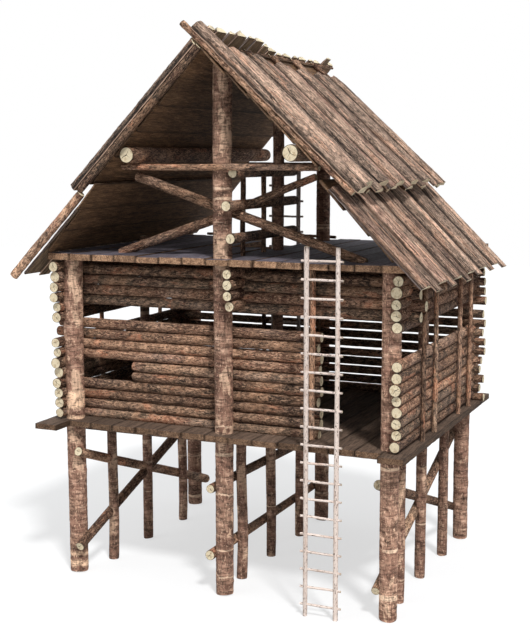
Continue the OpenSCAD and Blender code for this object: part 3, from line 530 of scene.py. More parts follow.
# ---------- solids of the frame ----------
def solids_of(node):
    """The separate solids of a node, each as its points and triangles."""
    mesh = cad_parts[node].data
    points = np.empty(len(mesh.vertices) * 3)
    mesh.vertices.foreach_get("co", points)
    mesh.calc_loop_triangles()
    triangles = np.empty(len(mesh.loop_triangles) * 3, int)
    mesh.loop_triangles.foreach_get("vertices", triangles)
    points, same = np.unique(np.round(points.reshape(-1, 3), 5), axis=0, return_inverse=True)
    triangles = same.reshape(-1)[triangles].reshape(-1, 3)
    # Every point takes the least label of the triangles that it is in, until nothing changes any more.
    label = np.arange(len(points))
    while True:
        least = label[triangles].min(axis=1)
        before = label.copy()
        for k in range(3):
            np.minimum.at(label, triangles[:, k], least)
        label = label[label]
        if (label == before).all():
            break
    found = []
    for name in np.unique(label[triangles[:, 0]]):
        own = triangles[label[triangles[:, 0]] == name]
        used, renumbered = np.unique(own, return_inverse=True)
        found.append((points[used], renumbered.reshape(-1, 3)))
    return found


def areas_and_normals(points, triangles):
    """The area of each triangle, and its normal with a length of 1."""
    a, b, c = (points[triangles[:, k]] for k in range(3))
    normal = np.cross(b - a, c - a)
    size = np.linalg.norm(normal, axis=1)
    return size / 2, normal / np.maximum(size, 1e-12)[:, None]


def axis_of(points, triangles):
    """The direction that a long piece runs in: its side faces' normals are all square to it."""
    area, normal = areas_and_normals(points, triangles)
    values, vectors = np.linalg.eigh((normal * area[:, None]).T @ normal)
    axis = vectors[:, 0]
    return axis * np.sign(axis[np.abs(axis).argmax()])


def square_to(axis):
    """Two directions square to an axis: the first as near to up as can be, or to X for an upright piece."""
    lead = UP if abs(axis[2]) < 0.9 else np.array((1.0, 0.0, 0.0))
    first = lead - axis * (lead @ axis)
    first /= np.linalg.norm(first)
    return first, np.cross(axis, first)


def circle_through(flat):
    """Centre and radius of the circle of a log's side, leaving out the points of its notches."""
    inside = 0.001
    tries = 6
    kept = flat
    for _ in range(tries):
        rows = np.column_stack((2 * kept, np.ones(len(kept))))
        answer = np.linalg.lstsq(rows, (kept ** 2).sum(axis=1), rcond=None)[0]
        centre = answer[:2]
        reach = np.linalg.norm(flat - centre, axis=1)
        radius = math.sqrt(max(answer[2] + centre @ centre, 1e-8))
        kept = flat[reach > radius - inside]
    return centre, radius


class Log:
    """A round log of the frame: a point on its axis, its direction, radius and ends."""
    stub_length = 0.2

    def __init__(self, points, triangles):
        # A stub is as wide as it is long, so its faces don't tell its direction. All stubs run front to back.
        is_stub = (points.max(axis=0) - points.min(axis=0)).max() < self.stub_length
        self.axis = BACKWARD if is_stub else axis_of(points, triangles)
        self.up, self.side = square_to(self.axis)
        area, normal = areas_and_normals(points, triangles)
        wall = np.unique(triangles[np.abs(normal @ self.axis) < 0.02])
        flat = np.column_stack((points[wall] @ self.up, points[wall] @ self.side))
        centre, self.radius = circle_through(flat)
        self.centre = centre[0] * self.up + centre[1] * self.side
        along = points @ self.axis
        self.start, self.end = along.min(), along.max()
        self.length = self.end - self.start


# ---------- meshes ----------
class Shape:
    """Gathers the points, faces and surface values of one piece."""
    margin = 0.001

    def __init__(self):
        self.points, self.grain, self.tone, self.cut = [], [], [], []
        self.faces, self.finishes, self.smooth = [], [], []
        self.count = 0

    def add(self, groups, points, grain, tone, cut=None):
        """Adds points with their surface values, and groups of faces: (index rows, finish, smooth)."""
        self.points.append(points)
        self.grain.append(grain)
        self.tone.append(tone)
        self.cut.append(np.zeros((len(points), 3)) if cut is None else cut)
        for rows, finish, smooth in groups:
            self.faces.append(np.asarray(rows) + self.count)
            self.finishes.append(np.full(len(rows), finish))
            self.smooth.append(np.full(len(rows), smooth))
        self.count += len(points)

    def build(self, name, materials):
        """Makes the mesh and its object. Nothing stands outside the box of the solids."""
        low = np.array(CAD_BOX[0]) + (self.margin, self.margin, 0)
        high = np.array(CAD_BOX[1]) - self.margin
        points = np.clip(np.concatenate(self.points), low, high)
        loops = np.concatenate([rows.reshape(-1) for rows in self.faces])
        sizes = np.concatenate([np.full(len(rows), rows.shape[1]) for rows in self.faces])
        mesh = bpy.data.meshes.new(name)
        mesh.vertices.add(len(points))
        mesh.vertices.foreach_set("co", points.astype(np.float32).reshape(-1))
        mesh.loops.add(len(loops))
        mesh.loops.foreach_set("vertex_index", loops.astype(np.int32))
        mesh.polygons.add(len(sizes))
        mesh.polygons.foreach_set("loop_start", (np.cumsum(sizes) - sizes).astype(np.int32))
        mesh.polygons.foreach_set("material_index", np.concatenate(self.finishes).astype(np.int32))
        mesh.polygons.foreach_set("use_smooth", np.concatenate(self.smooth).astype(bool))
        for key, rows in (("grain", self.grain), ("tone", self.tone), ("cut", self.cut)):
            values = mesh.attributes.new(key, "FLOAT_VECTOR", "POINT")
            values.data.foreach_set("vector", np.concatenate(rows).astype(np.float32).reshape(-1))
        for material in materials:
            mesh.materials.append(material)
        mesh.update(calc_edges=True)
        mesh.validate()
        piece = bpy.data.objects.new(name, mesh)
        bpy.context.scene.collection.objects.link(piece)
        return piece


def settle(shape, node, materials):
    """Builds a piece from its shape and puts it in the place of its CAD node."""
    piece = shape.build(node + "_timber", materials)
    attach(piece, "root")
    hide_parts(node)


def ripples(draw, count, longest, shortest, turns):
    """A seamless uneven field round and along a log, from 0 in the furrows to 1 on the crests."""
    length = longest * (shortest / longest) ** draw.random(count)
    spin = draw.integers(0, turns + 1, count)
    phase = draw.random(count) * 2 * math.pi
    weight = (length / longest) ** 0.35

    def field(along, angle):
        total = 0
        for l, m, p, w in zip(length, spin, phase, weight):
            total = total + w * np.sin(2 * math.pi * along / l + m * angle + p)
        return 0.5 + 0.5 * np.tanh(total / math.sqrt((weight ** 2).sum()))

    return field


def log_bark(log, draw, grid, turn, relief, knots, taper, full):
    """The radius of a log at the places of its grid, and how proud its bark stands there."""
    ceiling = log.radius * max(full, 1.0) * 1.02
    proud = (0.65 * ripples(draw, 12, 0.9, 0.07, 5)(grid, turn)
             + 0.35 * ripples(draw, 8, 0.16, 0.05, 9)(grid, turn))
    share = grid / log.length
    thin = 1 - taper * (share if draw.random() < 0.5 else 1 - share)
    radius = log.radius * full * thin - relief * (1 - proud)
    for _ in range(int(draw.poisson(knots * log.length))):
        at, facing = draw.random() * log.length, draw.random() * 2 * math.pi
        size = log.radius * draw.uniform(0.25, 0.5)
        aside = np.angle(np.exp(1j * (turn - facing))) * log.radius
        away = ((grid - at) / size) ** 2 + (aside / size) ** 2
        radius = radius + relief * draw.uniform(0.5, 1.1) * np.exp(-away)
    return np.minimum(radius, ceiling), proud


def add_log(shape, log, draw, sides, step, relief, knots=1.0, taper=0.05, wander=0.004, full=1.0,
            rounded=(False, False), lot=None):
    """A log with bark relief, knots, a slight taper and bend, and sawn or rounded ends."""
    rings = max(int(round(log.length / step)), 3)
    along = np.linspace(0, log.length, rings + 1)
    angle = np.linspace(0, 2 * math.pi, sides, endpoint=False)
    grid, turn = np.meshgrid(along, angle, indexing="ij")
    radius, proud = log_bark(log, draw, grid, turn, relief, knots, taper, full)
    first_bend, second_bend = (draw.normal(0, wander, 2) for _ in range(2))
    share = along[:, None] / log.length
    bow = np.sin(math.pi * share) * first_bend + np.sin(2 * math.pi * share) * second_bend
    # Each end has its ring, the way into the log from there, and whether it is rounded.
    ends = ((0, 1, rounded[0]), (rings, -1, rounded[1]))
    sawn_rim, round_rim, round_shoulder, shoulder_depth = 0.96, 0.62, 0.90, 0.32
    place = along.copy()
    shrink = np.ones(rings + 1)
    for ring, inward, is_round in ends:
        shrink[ring] = round_rim if is_round else sawn_rim
        if is_round:
            shrink[ring + inward] = round_shoulder
            place[ring + inward] = place[ring] + inward * log.radius * shoulder_depth
    radius = radius * shrink[:, None]
    # u and v lie across the log, and w runs along it.
    u = radius * np.cos(turn) + bow[:, :1]
    v = radius * np.sin(turn) + bow[:, 1:]
    w = place[:, None] + 0 * u
    for ring, inward, _ in ends:
        up_slant, side_slant = draw.normal(0, 0.06, 2)
        w[ring] += inward * np.abs(up_slant * u[ring] + side_slant * v[ring])
    points = (log.centre + (log.start + w)[..., None] * log.axis + u[..., None] * log.up
              + v[..., None] * log.side)
    grain = np.stack((w, u, v), axis=-1) + draw.random(3) * 40
    lot = draw.random() if lot is None else lot
    seed = draw.random()
    tone = np.stack((np.full_like(u, lot), proud, np.zeros_like(u)), axis=-1)
    cut = np.stack((np.cos(turn), np.sin(turn), np.full_like(u, seed)), axis=-1)
    here = np.arange(rings * sides)
    beside = here // sides * sides + (here + 1) % sides
    groups = [(np.stack((beside, beside + sides, here + sides, here), axis=1), BARK, True)]
    parts = [[rows.reshape(-1, 3) for rows in (points, grain, tone, cut)]]

    # A band of faces, a smaller ring and a fan round its middle close each end. Bulge is how far the middle
    # stands out, as a share of the radius.
    inner, round_bulge, sawn_bulge = 0.55, 0.16, -0.012
    following = (np.arange(sides) + 1) % sides
    for index, (ring, inward, is_round) in enumerate(ends):
        dome = -inward * log.radius * (round_bulge if is_round else sawn_bulge)
        middle, middle_grain = points[ring].mean(axis=0), grain[ring].mean(axis=0)
        inner_points = middle + (points[ring] - middle) * inner + log.axis * dome * 0.8
        inner_grain = grain[ring] * inner + middle_grain * (1 - inner)
        end_seed = seed + 0.37 * index
        inner_cut = np.column_stack((inner * np.cos(angle), inner * np.sin(angle), np.full(sides, end_seed)))
        parts.append([np.vstack((inner_points, middle + log.axis * dome)),
                      np.vstack((inner_grain, middle_grain)), np.tile((lot, 0.5, 0.0), (sides + 1, 1)),
                      np.vstack((inner_cut, (0, 0, end_seed)))])
        rim = ring * sides + np.arange(sides)
        inside = (rings + 1) * sides + index * (sides + 1) + np.arange(sides)
        hub = np.full(sides, inside[-1] + 1)
        band = np.stack((rim, inside, inside[following], rim[following]), axis=1)
        fan = np.stack((inside, hub, inside[following]), axis=1)
        if inward > 0:
            band, fan = band[:, ::-1], fan[:, ::-1]
        finish = BARK if is_round else CUT
        groups += [(band, finish, is_round), (fan, finish, is_round)]
    shape.add(groups, *(np.concatenate(rows) for rows in zip(*parts)))


def board_directions(points, triangles, lean):
    """The directions along a board, across it and out of its larger face. Lean gives the first, if known."""
    axis = axis_of(points, triangles) if lean is None else lean
    area, normal = areas_and_normals(points, triangles)
    rounded = np.round(normal, 2)
    area_of = {}
    for size, way in zip(area, rounded):
        if abs(way @ axis) < 0.2:
            key = tuple(np.abs(way))
            area_of[key] = area_of.get(key, 0) + size
    largest = np.array(max(area_of, key=area_of.get))
    out = normal[np.abs(np.abs(rounded) - largest).max(axis=1) < 0.02][0]
    out = out * np.sign(out[np.abs(out).argmax()])
    return axis, np.cross(out, axis), out


def cut_board(points, triangles, axis, across, spacing):
    """A board's mesh, cut by lines along and across it, so that its faces and edges can be worn unevenly."""
    across_spacing = 0.10
    mesh = bmesh.new()
    made = [mesh.verts.new(point) for point in points]
    for row in triangles:
        mesh.faces.new([made[k] for k in row])
    bmesh.ops.dissolve_limit(mesh, angle_limit=0.01, verts=mesh.verts, edges=mesh.edges)
    for way, gap in ((axis, spacing), (across, across_spacing)):
        reach = points @ way
        low, size = reach.min(), reach.max() - reach.min()
        count = int(size / gap)
        for k in range(1, count):
            bmesh.ops.bisect_plane(mesh, geom=mesh.verts[:] + mesh.edges[:] + mesh.faces[:], dist=1e-5,
                                   plane_co=Vector(way * (low + size * k / count)), plane_no=Vector(way))
    bmesh.ops.triangulate(mesh, faces=[face for face in mesh.faces if len(face.verts) > 4])
    mesh.verts.ensure_lookup_table()
    mesh.normal_update()
    return mesh


def ways_at(point):
    """The directions of the different faces that meet at a point of a board."""
    ways = []
    for face in point.link_faces:
        way = np.array(face.normal)
        if not any(known @ way > 0.9 for known in ways):
            ways.append(way)
    return ways


def add_board(shape, points, triangles, draw, spacing, wear, lean=None):
    """A sawn board cut across at close lines, with uneven faces and worn edges."""
    axis, across, out = board_directions(points, triangles, lean)
    mesh = cut_board(points, triangles, axis, across, spacing)
    place = np.array([point.co for point in mesh.verts])
    local = np.column_stack((place @ axis, place @ across, place @ out))
    low, high = local.min(axis=0), local.max(axis=0)
    middle = (low + high) / 2
    push = np.zeros_like(local)
    on_edge = np.zeros(len(local))
    for index, point in enumerate(mesh.verts):
        ways = ways_at(point)
        if len(ways) > 1:
            on_edge[index] = 1
            for way in ways:
                push[index] += [way @ axis, way @ across, way @ out]
    swell = ripples(draw, 10, 0.8, 0.12, 0)
    chips = ripples(draw, 10, 0.7, 0.10, 0)
    wave = swell(local[:, 0] + 0.6 * local[:, 1], 0 * local[:, 0])
    chip = chips(local[:, 0] * 1.7 + 3 * local[:, 1] + 5 * local[:, 2], 0 * local[:, 0])
    # Both faces sink by these depths at most. An edge loses at least this share of the wear, and more at chips.
    upper_sink, lower_sink, least_wear = -0.004, 0.003, 0.25
    moved = local.copy()
    sink = np.where(local[:, 2] > middle[2], upper_sink, lower_sink)
    moved[:, 2] += sink * (1 - wave) * (1 - on_edge)
    moved -= push * (wear * (least_wear + (1 - least_wear) * chip * chip))[:, None]
    spot = moved[:, :1] * axis + moved[:, 1:2] * across + moved[:, 2:] * out
    lot = draw.random()
    offset = draw.random(3) * 30
    near_edge = np.abs(local[:, 1] - middle[1]) / max((high[1] - low[1]) / 2, 1e-6)
    tone = np.column_stack((np.full(len(local), lot), wave, near_edge))
    groups = {}
    for face in mesh.faces:
        way = np.array(face.normal)
        if abs(way @ axis) > 0.7 or abs(way @ across) > 0.7:
            finish = SAWN
        else:
            finish = TOP if way @ out > 0 else UNDER
        groups.setdefault((len(face.verts), finish), []).append([point.index for point in face.verts])
    shape.add([(np.array(rows), finish, False) for (_, finish), rows in groups.items()],
              spot, local + offset, tone)
    mesh.free()


class Slab:
    """A slab of the frame: it runs down the roof from its start, and its bark faces out."""
    tip_gap = 0.01

    def __init__(self, points, triangles):
        self.axis = axis_of(points, triangles)
        if self.axis[2] > 0:
            self.axis = -self.axis
        area, normal = areas_and_normals(points, triangles)
        square = np.abs(normal @ self.axis) < 0.05
        keys, same = np.unique(np.round(normal[square], 3), axis=0, return_inverse=True)
        total = np.bincount(same.reshape(-1), weights=area[square])
        self.out = -keys[total.argmax()]
        self.out /= np.linalg.norm(self.out)
        self.across = np.cross(self.out, self.axis)
        along, level, aside = points @ self.axis, points @ self.out, points @ self.across
        self.start, self.length = along.min(), along.max() - along.min()
        self.base, self.thick = level.min(), level.max() - level.min()
        self.half = (aside.max() - aside.min()) / 2
        self.middle = (aside.max() + aside.min()) / 2
        self.front = points[:, 1].min()

    def shift(self, more):
        """Moves the upper end up the roof."""
        self.start -= more
        self.length += more

    def tip(self, reach):
        """A short slab over the back half of this one's width, which reaches on up the roof."""
        tip = copy.copy(self)
        tip.length = 0.0
        tip.start -= self.tip_gap
        tip.shift(reach)
        tip.half = self.half / 2
        tip.middle += self.half / 2 * np.sign(self.across[1])
        return tip

    def spot(self, along, aside, level):
        """The points at places along the slab, aside from its middle and above its flat face."""
        return (self.axis * (self.start + along)[..., None] + self.out * (self.base + level)[..., None]
                + self.across * (self.middle + aside)[..., None])


def slab_bark(slab, draw, grid, turn, wide, spread, relief):
    """How far the bark stands from the centre of a slab's round face, and how proud it is."""
    proud = (0.6 * ripples(draw, 14, 1.3, 0.10, 5)(grid, turn * 1.2)
             + 0.4 * ripples(draw, 10, 0.2, 0.07, 9)(grid, turn * 1.5))
    reach = wide - relief * (1 - proud)
    for _ in range(int(draw.poisson(slab.length))):
        at, facing = draw.random() * slab.length, draw.uniform(-0.8, 0.8) * spread
        size = draw.uniform(0.025, 0.06)
        away = ((grid - at) / size) ** 2 + ((turn - facing) * wide / size) ** 2
        reach = reach + relief * draw.uniform(0.4, 0.9) * np.exp(-away)
    return reach, proud


def add_slab(shape, slab, draw, sides, step, relief, waviness, lip, hewn):
    """A split slab: flat below, bark above, with thin wavy split edges and ragged ends.
    Its upper end is hewn down to a share of its thickness, and narrows a little."""
    thick, half = slab.thick, slab.half
    wide = (half * half + thick * thick) / (2 * thick)
    spread = math.atan2(half, wide - thick)
    rings = max(int(round(slab.length / step)), 3)
    run = np.linspace(0, slab.length, rings + 1)
    angle = np.linspace(-spread, spread, sides + 1)
    grid, turn = np.meshgrid(run, angle, indexing="ij")
    reach, proud = slab_bark(slab, draw, grid, turn, wide, spread, relief)
    # u lies across the slab, n is the height over its flat face, and w runs along it.
    u = reach * np.sin(turn)
    n = np.maximum(reach * np.cos(turn) - (wide - thick), 0.0)
    left, right = (ripples(draw, 8, 1.1, 0.15, 0)(run, 0 * run) for _ in range(2))
    wave = np.where(u < 0, left[:, None], right[:, None])
    # A lip of split wood stands under each edge, and the bark rises from the top of it.
    rim = np.minimum(lip * (0.6 + 0.4 * wave), thick * 0.45)
    n = np.minimum(rim + n * (1 - rim / thick), thick + 0.003)
    hewn_length, narrowing, edge_trim, raggedness = 0.30, 0.55, 0.006, 0.014
    near_top = np.maximum(1 - grid / hewn_length, 0)
    n = n * (1 - (1 - hewn) * near_top ** 1.5)
    u = u * (1 - narrowing * (1 - hewn) * near_top)
    u = u * (1 - (edge_trim + wave * waviness) / half)
    w = grid.copy()
    for ring, inward, slant in zip((0, rings), (1, -1), draw.normal(0, 0.10, 2)):
        ragged = ripples(draw, 6, 0.3, 0.05, 0)(u[ring], 0 * u[ring])
        w[ring] = run[ring] + inward * (np.abs(slant * u[ring]) + raggedness * ragged)

    # Columns run round the section: bark, one lip, the flat face and the other lip.
    share = np.linspace(0, 1, 4)
    under = np.zeros((rings + 1, len(share)))
    u, w = (np.hstack((rows, rows[:, -1:] * (1 - share) + rows[:, :1] * share)) for rows in (u, w))
    n = np.hstack((n, under))
    proud = np.hstack((proud, under + 0.5))
    near_edge = np.concatenate((np.abs(angle) / spread, np.full(len(share), 0.5))) + 0 * u
    columns = sides + 1 + len(share)
    lot, offset, seed = draw.random(), draw.random(3) * 40, draw.random()
    points = slab.spot(w, u, n)
    middles = np.array([points[ring].mean(axis=0) for ring in (0, rings)])
    grain = np.stack((w, u, n), axis=-1).reshape(-1, 3) + offset
    tone = np.stack((np.full_like(u, lot), proud, near_edge), axis=-1).reshape(-1, 3)
    cut = np.stack((u / wide, (n + wide - thick) / wide, np.full_like(u, seed)), axis=-1).reshape(-1, 3)
    row = np.arange(rings)[:, None] * columns
    groups = []
    for kinds, finish, smooth in ((range(sides), BARK, True), ((sides, columns - 1), SPLIT, False),
                                  (range(sides + 1, columns - 1), UNDER, False)):
        here = row + np.array(kinds)
        beside = row + (np.array(kinds) + 1) % columns
        quads = np.stack((here, here + columns, beside + columns, beside), axis=-1)
        groups.append((quads.reshape(-1, 4), finish, smooth))
    loop = np.arange(columns)
    for index, ring in enumerate((0, rings)):
        hub = np.full(columns, (rings + 1) * columns + index)
        fan = np.stack((ring * columns + loop, ring * columns + (loop + 1) % columns, hub), axis=1)
        groups.append((fan if ring == 0 else fan[:, ::-1], CUT, False))
    if np.cross(slab.axis, slab.across) @ slab.out < 0:
        groups = [(rows[:, ::-1], finish, smooth) for rows, finish, smooth in groups]
    shape.add(groups, np.concatenate((points.reshape(-1, 3), middles)),
              np.concatenate((grain, grain[[0, -1]])), np.concatenate((tone, tone[[0, -1]])),
              np.concatenate((cut, [[0, 0.6, seed]] * 2)))


# ---------- pieces ----------
def log_piece(node, seed, materials, blunt=None, **style):
    """Rebuilds every log of a node with bark. An end between the two places of blunt is rounded, not sawn."""
    shape = Shape()
    draw = np.random.default_rng(seed)
    for points, triangles in solids_of(node):
        log = Log(points, triangles)
        rounded = [blunt is not None and blunt[0] < place < blunt[1] for place in (log.start, log.end)]
        add_log(shape, log, draw, rounded=rounded, **style)
    settle(shape, node, materials)


def log_pieces(nodes, first_seed, materials, **style):
    """Rebuilds the logs of several nodes in one style."""
    for k, node in enumerate(nodes):
        log_piece(node, first_seed + k, materials, **style)


def board_piece(node, seed, materials, spacing, wear, lean=None):
    """Rebuilds every board of a node with worn edges. Lean is the direction the boards run in, if known."""
    shape = Shape()
    draw = np.random.default_rng(seed)
    for points, triangles in solids_of(node):
        add_board(shape, points, triangles, draw, spacing, wear, lean)
    settle(shape, node, materials)


def slab_piece(node, seed, materials, slabs, more=0.0, tip=0.0, hewn=1.0):
    """Rebuilds the slabs of a node. The front one's upper end moves up by more, half of its width reaches on
    by tip, and the upper ends of the others keep a share of their thickness, hewn."""
    shape = Shape()
    draw = np.random.default_rng(seed)
    found = [Slab(points, triangles) for points, triangles in solids_of(node)]
    first = min(found, key=lambda slab: slab.front)
    first.shift(more)
    if tip:
        found.append(first.tip(tip))
    for slab in found:
        add_slab(shape, slab, draw, slabs.sides, slabs.ring_step, slabs.relief, slabs.waviness, slabs.lip,
                 1.0 if slab is first else hewn)
    settle(shape, node, materials)


# ---------- operators ----------
class CABIN_OT_posts(bpy.types.Operator):
    """Build the main posts and the thin posts with their bark"""
    bl_idname = "cabin.posts"
    bl_label = "Posts"

    def execute(self, context):
        bark = context.scene.cabin_bark
        ends = cut_finish("post cut ends", bark)
        plain = post_finish("post bark", bark, 1.15)
        peeled = post_finish("peeled post bark", bark, 1.15, peeled=PEELED_HEIGHTS)
        scored = post_finish("scored post bark", bark, 1.15, rings=RING_HEIGHTS)
        thin = post_finish("thin post bark", bark)
        bark_of = {"front_left_post": peeled, "front_centre_post": scored}
        for k, (node, (tone, fullness)) in enumerate(MAIN_POSTS.items()):
            log_piece(node, FIRST_SEED["posts"] + k, [bark_of.get(node, plain), ends], sides=bark.post_sides,
                      step=0.045, relief=bark.post_relief, knots=bark.knots, taper=0.06, wander=0.006,
                      lot=tone, full=fullness)
        log_pieces(THIN_POSTS, FIRST_SEED["thin posts"], [thin, ends], sides=18, step=bark.ring_step,
                   relief=0.005, knots=1.5, taper=0.08, wander=0.006, full=THIN_POST_FULLNESS)
        return {"FINISHED"}


class CABIN_OT_braces(bpy.types.Operator):
    """Build the braces between the stilts"""
    bl_idname = "cabin.braces"
    bl_label = "Stilt braces"

    def execute(self, context):
        bark = context.scene.cabin_bark
        materials = [bark_finish("brace bark", bark), cut_finish("brace cut ends", bark)]
        for k, (node, fullness) in enumerate(STILT_BRACES.items()):
            log_piece(node, FIRST_SEED["braces"] + k, materials, sides=14, step=bark.ring_step, relief=0.004,
                      knots=1.6, taper=0.12, wander=0.004, full=fullness)
        return {"FINISHED"}


class CABIN_OT_walls(bpy.types.Operator):
    """Build the log walls, the centre beams and the poles against the walls"""
    bl_idname = "cabin.walls"
    bl_label = "Log walls"

    def execute(self, context):
        bark = context.scene.cabin_bark
        materials = [bark_finish("wall log bark", bark, 1.04, 0.55), cut_finish("wall log cut ends", bark)]
        for k, node in enumerate(WALLS):
            log_piece(node, FIRST_SEED["walls"] + k, materials, sides=bark.sides, step=bark.ring_step,
                      relief=bark.relief, knots=bark.knots, taper=0.04, wander=0.003,
                      full=BACK_WALL_FULLNESS if node.startswith("back") else WALL_FULLNESS,
                      blunt=SHORT_LOG_ENDS if node == "front_wall_lower_logs" else None)
        log_pieces(WALL_POLES, FIRST_SEED["poles"], materials, sides=14, step=bark.ring_step, relief=0.004,
                   knots=1.8, taper=0.12, wander=0.006)
        return {"FINISHED"}


class CABIN_OT_floors(bpy.types.Operator):
    """Build the joists and the boards of both floors"""
    bl_idname = "cabin.floors"
    bl_label = "Floors"

    def execute(self, context):
        bark, boards = context.scene.cabin_bark, context.scene.cabin_boards
        logs = [bark_finish("joist bark", bark, 0.85, 0.4), cut_finish("joist cut ends", bark)]
        log_pieces(JOISTS, FIRST_SEED["joists"], logs, sides=14, step=0.08, relief=0.005, knots=1.0,
                   taper=0.05, wander=0.003)
        dark_sawn, pale_sawn = linear(0.19, 0.145, 0.115), linear(0.74, 0.60, 0.48)
        # One sawn finish in a lit and a shaded copy. Painted light makes the attic ends, which lie in the shade
        # of the eaves, 1.5 times lighter, and painted shade makes the floor ends 0.72 times as light.
        attic_ends = board_finish("attic board ends", boards.sawn, dark_sawn, pale_sawn, 1.5, 0.85, 0.6)
        floor_ends = board_finish("floor board ends", boards.sawn, dark_sawn, pale_sawn, 0.72, 0.85, 0.6)
        under = board_finish("board undersides", boards.roof, linear(0.10, 0.08, 0.06),
                             linear(0.36, 0.28, 0.22))
        floor = board_finish("floor board tops", boards.floor, linear(0.17, 0.13, 0.11),
                             linear(0.52, 0.43, 0.37))
        attic = board_finish("attic board tops", boards.attic, linear(0.23, 0.205, 0.22),
                             linear(0.50, 0.475, 0.51))
        board_piece("floor_boards", FIRST_SEED["floor"], [floor, floor_ends, under], boards.spacing,
                    boards.wear, BACKWARD)
        board_piece("attic_boards", FIRST_SEED["attic floor"], [attic, attic_ends, under], boards.spacing,
                    boards.wear, BACKWARD)
        return {"FINISHED"}


class CABIN_OT_attic(bpy.types.Operator):
    """Build the rails, ties, braces, purlins, ridge pole and rafters"""
    bl_idname = "cabin.attic"
    bl_label = "Attic frame"

    def execute(self, context):
        bark = context.scene.cabin_bark
        materials = [bark_finish("attic log bark", bark), cut_finish("attic log cut ends", bark)]
        log_pieces(ATTIC_LOGS, FIRST_SEED["attic"], materials, sides=bark.sides, step=bark.ring_step,
                   relief=0.005, knots=bark.knots, taper=0.06, wander=0.003)
        log_piece("rafters", FIRST_SEED["rafters"], materials, sides=16, step=0.06, relief=0.007, knots=1.6,
                  taper=0.06, wander=0.003, full=RAFTER_FULLNESS)
        return {"FINISHED"}


class CABIN_OT_roof_boards(bpy.types.Operator):
    """Build the dark lapped boards under the roof"""
    bl_idname = "cabin.roof_boards"
    bl_label = "Roof boards"

    def execute(self, context):
        boards = context.scene.cabin_boards
        # Painted light: the roof board face takes its colour 1.35 times lighter, to lift the shade under the
        # roof.
        dark = board_finish("roof board face", boards.roof, linear(0.17, 0.12, 0.085),
                            linear(0.56, 0.43, 0.31), 1.35)
        sawn = board_finish("roof board edges", linear(0.48, 0.37, 0.28), linear(0.18, 0.14, 0.11),
                            linear(0.66, 0.53, 0.42))
        for k, node in enumerate(ROOF_BOARDS):
            board_piece(node, FIRST_SEED["roof boards"] + k, [dark, sawn, dark], boards.spacing,
                        ROOF_BOARD_WEAR)
        return {"FINISHED"}


class CABIN_OT_slabs(bpy.types.Operator):
    """Build the split slabs that cover both tiers of the roof"""
    bl_idname = "cabin.slabs"
    bl_label = "Roof slabs"

    def execute(self, context):
        slabs = context.scene.cabin_slabs
        ends = split_finish("slab cut ends", slabs, 1.0)
        below = board_finish("slab undersides", linear(0.50, 0.41, 0.32), linear(0.20, 0.155, 0.12),
                             linear(0.74, 0.63, 0.50))
        edges = split_finish("slab split edges", slabs)
        upper = slab_finish("upper slab bark", 0.96)
        lower = slab_finish("lower slab bark", 1.04, 1.0)
        for k, (node, (more, tip, hewn)) in enumerate(UPPER_SLABS.items()):
            slab_piece(node, FIRST_SEED["upper slabs"] + k, [upper, ends, below, edges], slabs, more, tip,
                       hewn)
        for k, node in enumerate(LOWER_SLABS):
            slab_piece(node, FIRST_SEED["lower slabs"] + k, [lower, ends, below, edges], slabs)
        return {"FINISHED"}


class CABIN_OT_ladders(bpy.types.Operator):
    """Build the peeled poles and rungs of both ladders"""
    bl_idname = "cabin.ladders"
    bl_label = "Ladders"

    def execute(self, context):
        bark, ladders = context.scene.cabin_bark, context.scene.cabin_ladders
        materials = [ladder_finish("peeled ladder wood", ladders), cut_finish("ladder cut ends", bark)]
        log_pieces(LADDER_POLES, FIRST_SEED["ladder poles"], materials, sides=14, step=0.06,
                   relief=ladders.relief, knots=3.0, taper=0.10, wander=0.004)
        log_pieces(LADDER_RUNGS, FIRST_SEED["ladder rungs"], materials, sides=10, step=0.05, relief=0.003,
                   knots=1.5, taper=0.12, wander=0.002)
        return {"FINISHED"}


def pale_floor(scene, colour):
    """A wide floor that looks nearly white, but lights the cabin as a grey one would."""
    half, drop = 60, 0.002
    mesh = bpy.data.meshes.new("pale floor")
    corners = [(x * half, y * half, -drop) for x, y in ((-1, -1), (1, -1), (1, 1), (-1, 1))]
    mesh.from_pydata(corners, [], [(0, 1, 2, 3)])
    floor = bpy.data.objects.new("pale_floor", mesh)
    scene.collection.objects.link(floor)
    f = Finish(bpy.data.materials.new("pale floor"))
    seen = f.node("ShaderNodeLightPath", {}, {}, "Is Camera Ray")
    diffuse = f.node("ShaderNodeBsdfDiffuse", {}, {"Color": f.mix(seen, colour, (0.95, 0.95, 0.95))})
    glow = f.node("ShaderNodeEmission", {}, {"Color": (1, 1, 1, 1), "Strength": 1.0})
    blend = f.node("ShaderNodeMixShader", {}, {0: seen * 0.6, 1: diffuse, 2: glow})
    f.node("ShaderNodeOutputMaterial", {}, {"Surface": blend})
    mesh.materials.append(f.owner)


def studio_world(scene, strength):
    """A world that is white to look at, and a plain soft sky as a light."""
    scene.world = bpy.data.worlds.new("studio")
    f = Finish(scene.world)
    looks = [f.node("ShaderNodeLightPath", {}, {}, ray)
             for ray in ("Is Camera Ray", "Is Glossy Ray", "Is Transmission Ray")]
    sky = f.node("ShaderNodeBackground", {}, {"Color": (0.94, 0.97, 1, 1), "Strength": strength})
    white = f.node("ShaderNodeBackground", {}, {"Color": (1, 1, 1, 1)})
    blend = f.node("ShaderNodeMixShader", {}, {0: looks[0].most(looks[1]).most(looks[2]), 1: sky, 2: white})
    f.node("ShaderNodeOutputWorld", {}, {"Surface": blend})


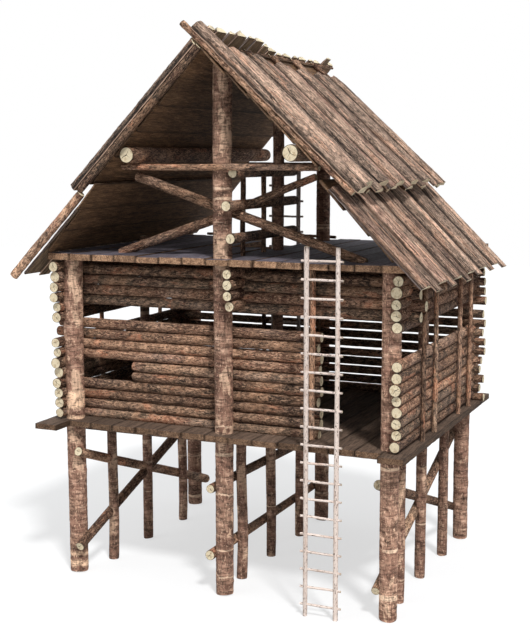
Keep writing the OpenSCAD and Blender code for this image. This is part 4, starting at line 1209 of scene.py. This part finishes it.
def place_lamp(scene, name, strength, tilt, turn, softness):
    """A distant lamp: its tilt from straight down, its turn about up and how wide it looks, in degrees."""
    lamp = bpy.data.lights.new(name, "SUN")
    lamp.energy = strength
    lamp.angle = math.radians(softness)
    placed = bpy.data.objects.new(name, lamp)
    placed.rotation_euler = (math.radians(tilt), 0, math.radians(turn))
    scene.collection.objects.link(placed)


class CABIN_OT_stage(bpy.types.Operator):
    """Set up the pale floor, the soft lights and the camera"""
    bl_idname = "cabin.stage"
    bl_label = "Stage"

    def execute(self, context):
        scene = context.scene
        stage = scene.cabin_stage
        pale_floor(scene, stage.floor)
        studio_world(scene, stage.sky)
        place_lamp(scene, "key light", stage.key, tilt=40, turn=42, softness=8)
        place_lamp(scene, "fill light", stage.fill, tilt=65, turn=-40, softness=40)
        camera = bpy.data.objects.new("camera", bpy.data.cameras.new("camera"))
        camera.location = stage.camera_place
        camera.rotation_euler = (math.radians(90) - stage.camera_tilt, 0, stage.camera_turn)
        camera.data.lens = stage.lens
        camera.data.sensor_width = 36
        scene.collection.objects.link(camera)
        bpy.context.scene.camera = camera
        scene.view_settings.view_transform = "Standard"
        return {"FINISHED"}


class CABIN_PT_panel(bpy.types.Panel):
    """Lists the pieces of the cabin and their settings"""
    bl_label = "Log cabin"
    bl_idname = "CABIN_PT_panel"
    bl_space_type = "VIEW_3D"
    bl_region_type = "UI"
    bl_category = "Log cabin"

    def draw(self, context):
        for operator in OPERATORS:
            self.layout.operator(operator.bl_idname)
        for key in GROUPS:
            box = self.layout.box()
            settings = getattr(context.scene, key)
            for name in settings.bl_rna.properties.keys():
                if name not in ("rna_type", "name"):
                    box.prop(settings, name)


GROUPS = {"cabin_bark": CABIN_PG_bark, "cabin_boards": CABIN_PG_boards, "cabin_slabs": CABIN_PG_slabs,
          "cabin_ladders": CABIN_PG_ladders, "cabin_stage": CABIN_PG_stage}
OPERATORS = [CABIN_OT_stage, CABIN_OT_posts, CABIN_OT_braces, CABIN_OT_walls, CABIN_OT_floors, CABIN_OT_attic,
             CABIN_OT_roof_boards, CABIN_OT_slabs, CABIN_OT_ladders]


def register():
    for kind in (*GROUPS.values(), *OPERATORS, CABIN_PT_panel):
        bpy.utils.register_class(kind)
    for key, kind in GROUPS.items():
        setattr(bpy.types.Scene, key, PointerProperty(type=kind))


def unregister():
    for key in GROUPS:
        delattr(bpy.types.Scene, key)
    for kind in reversed((*GROUPS.values(), *OPERATORS, CABIN_PT_panel)):
        bpy.utils.unregister_class(kind)


def main():
    """Builds the stage and every piece."""
    register()
    bpy.ops.cabin.stage()
    bpy.ops.cabin.posts()
    bpy.ops.cabin.braces()
    bpy.ops.cabin.walls()
    bpy.ops.cabin.floors()
    bpy.ops.cabin.attic()
    bpy.ops.cabin.roof_boards()
    bpy.ops.cabin.slabs()
    bpy.ops.cabin.ladders()


if __name__ == "__main__":
    main()
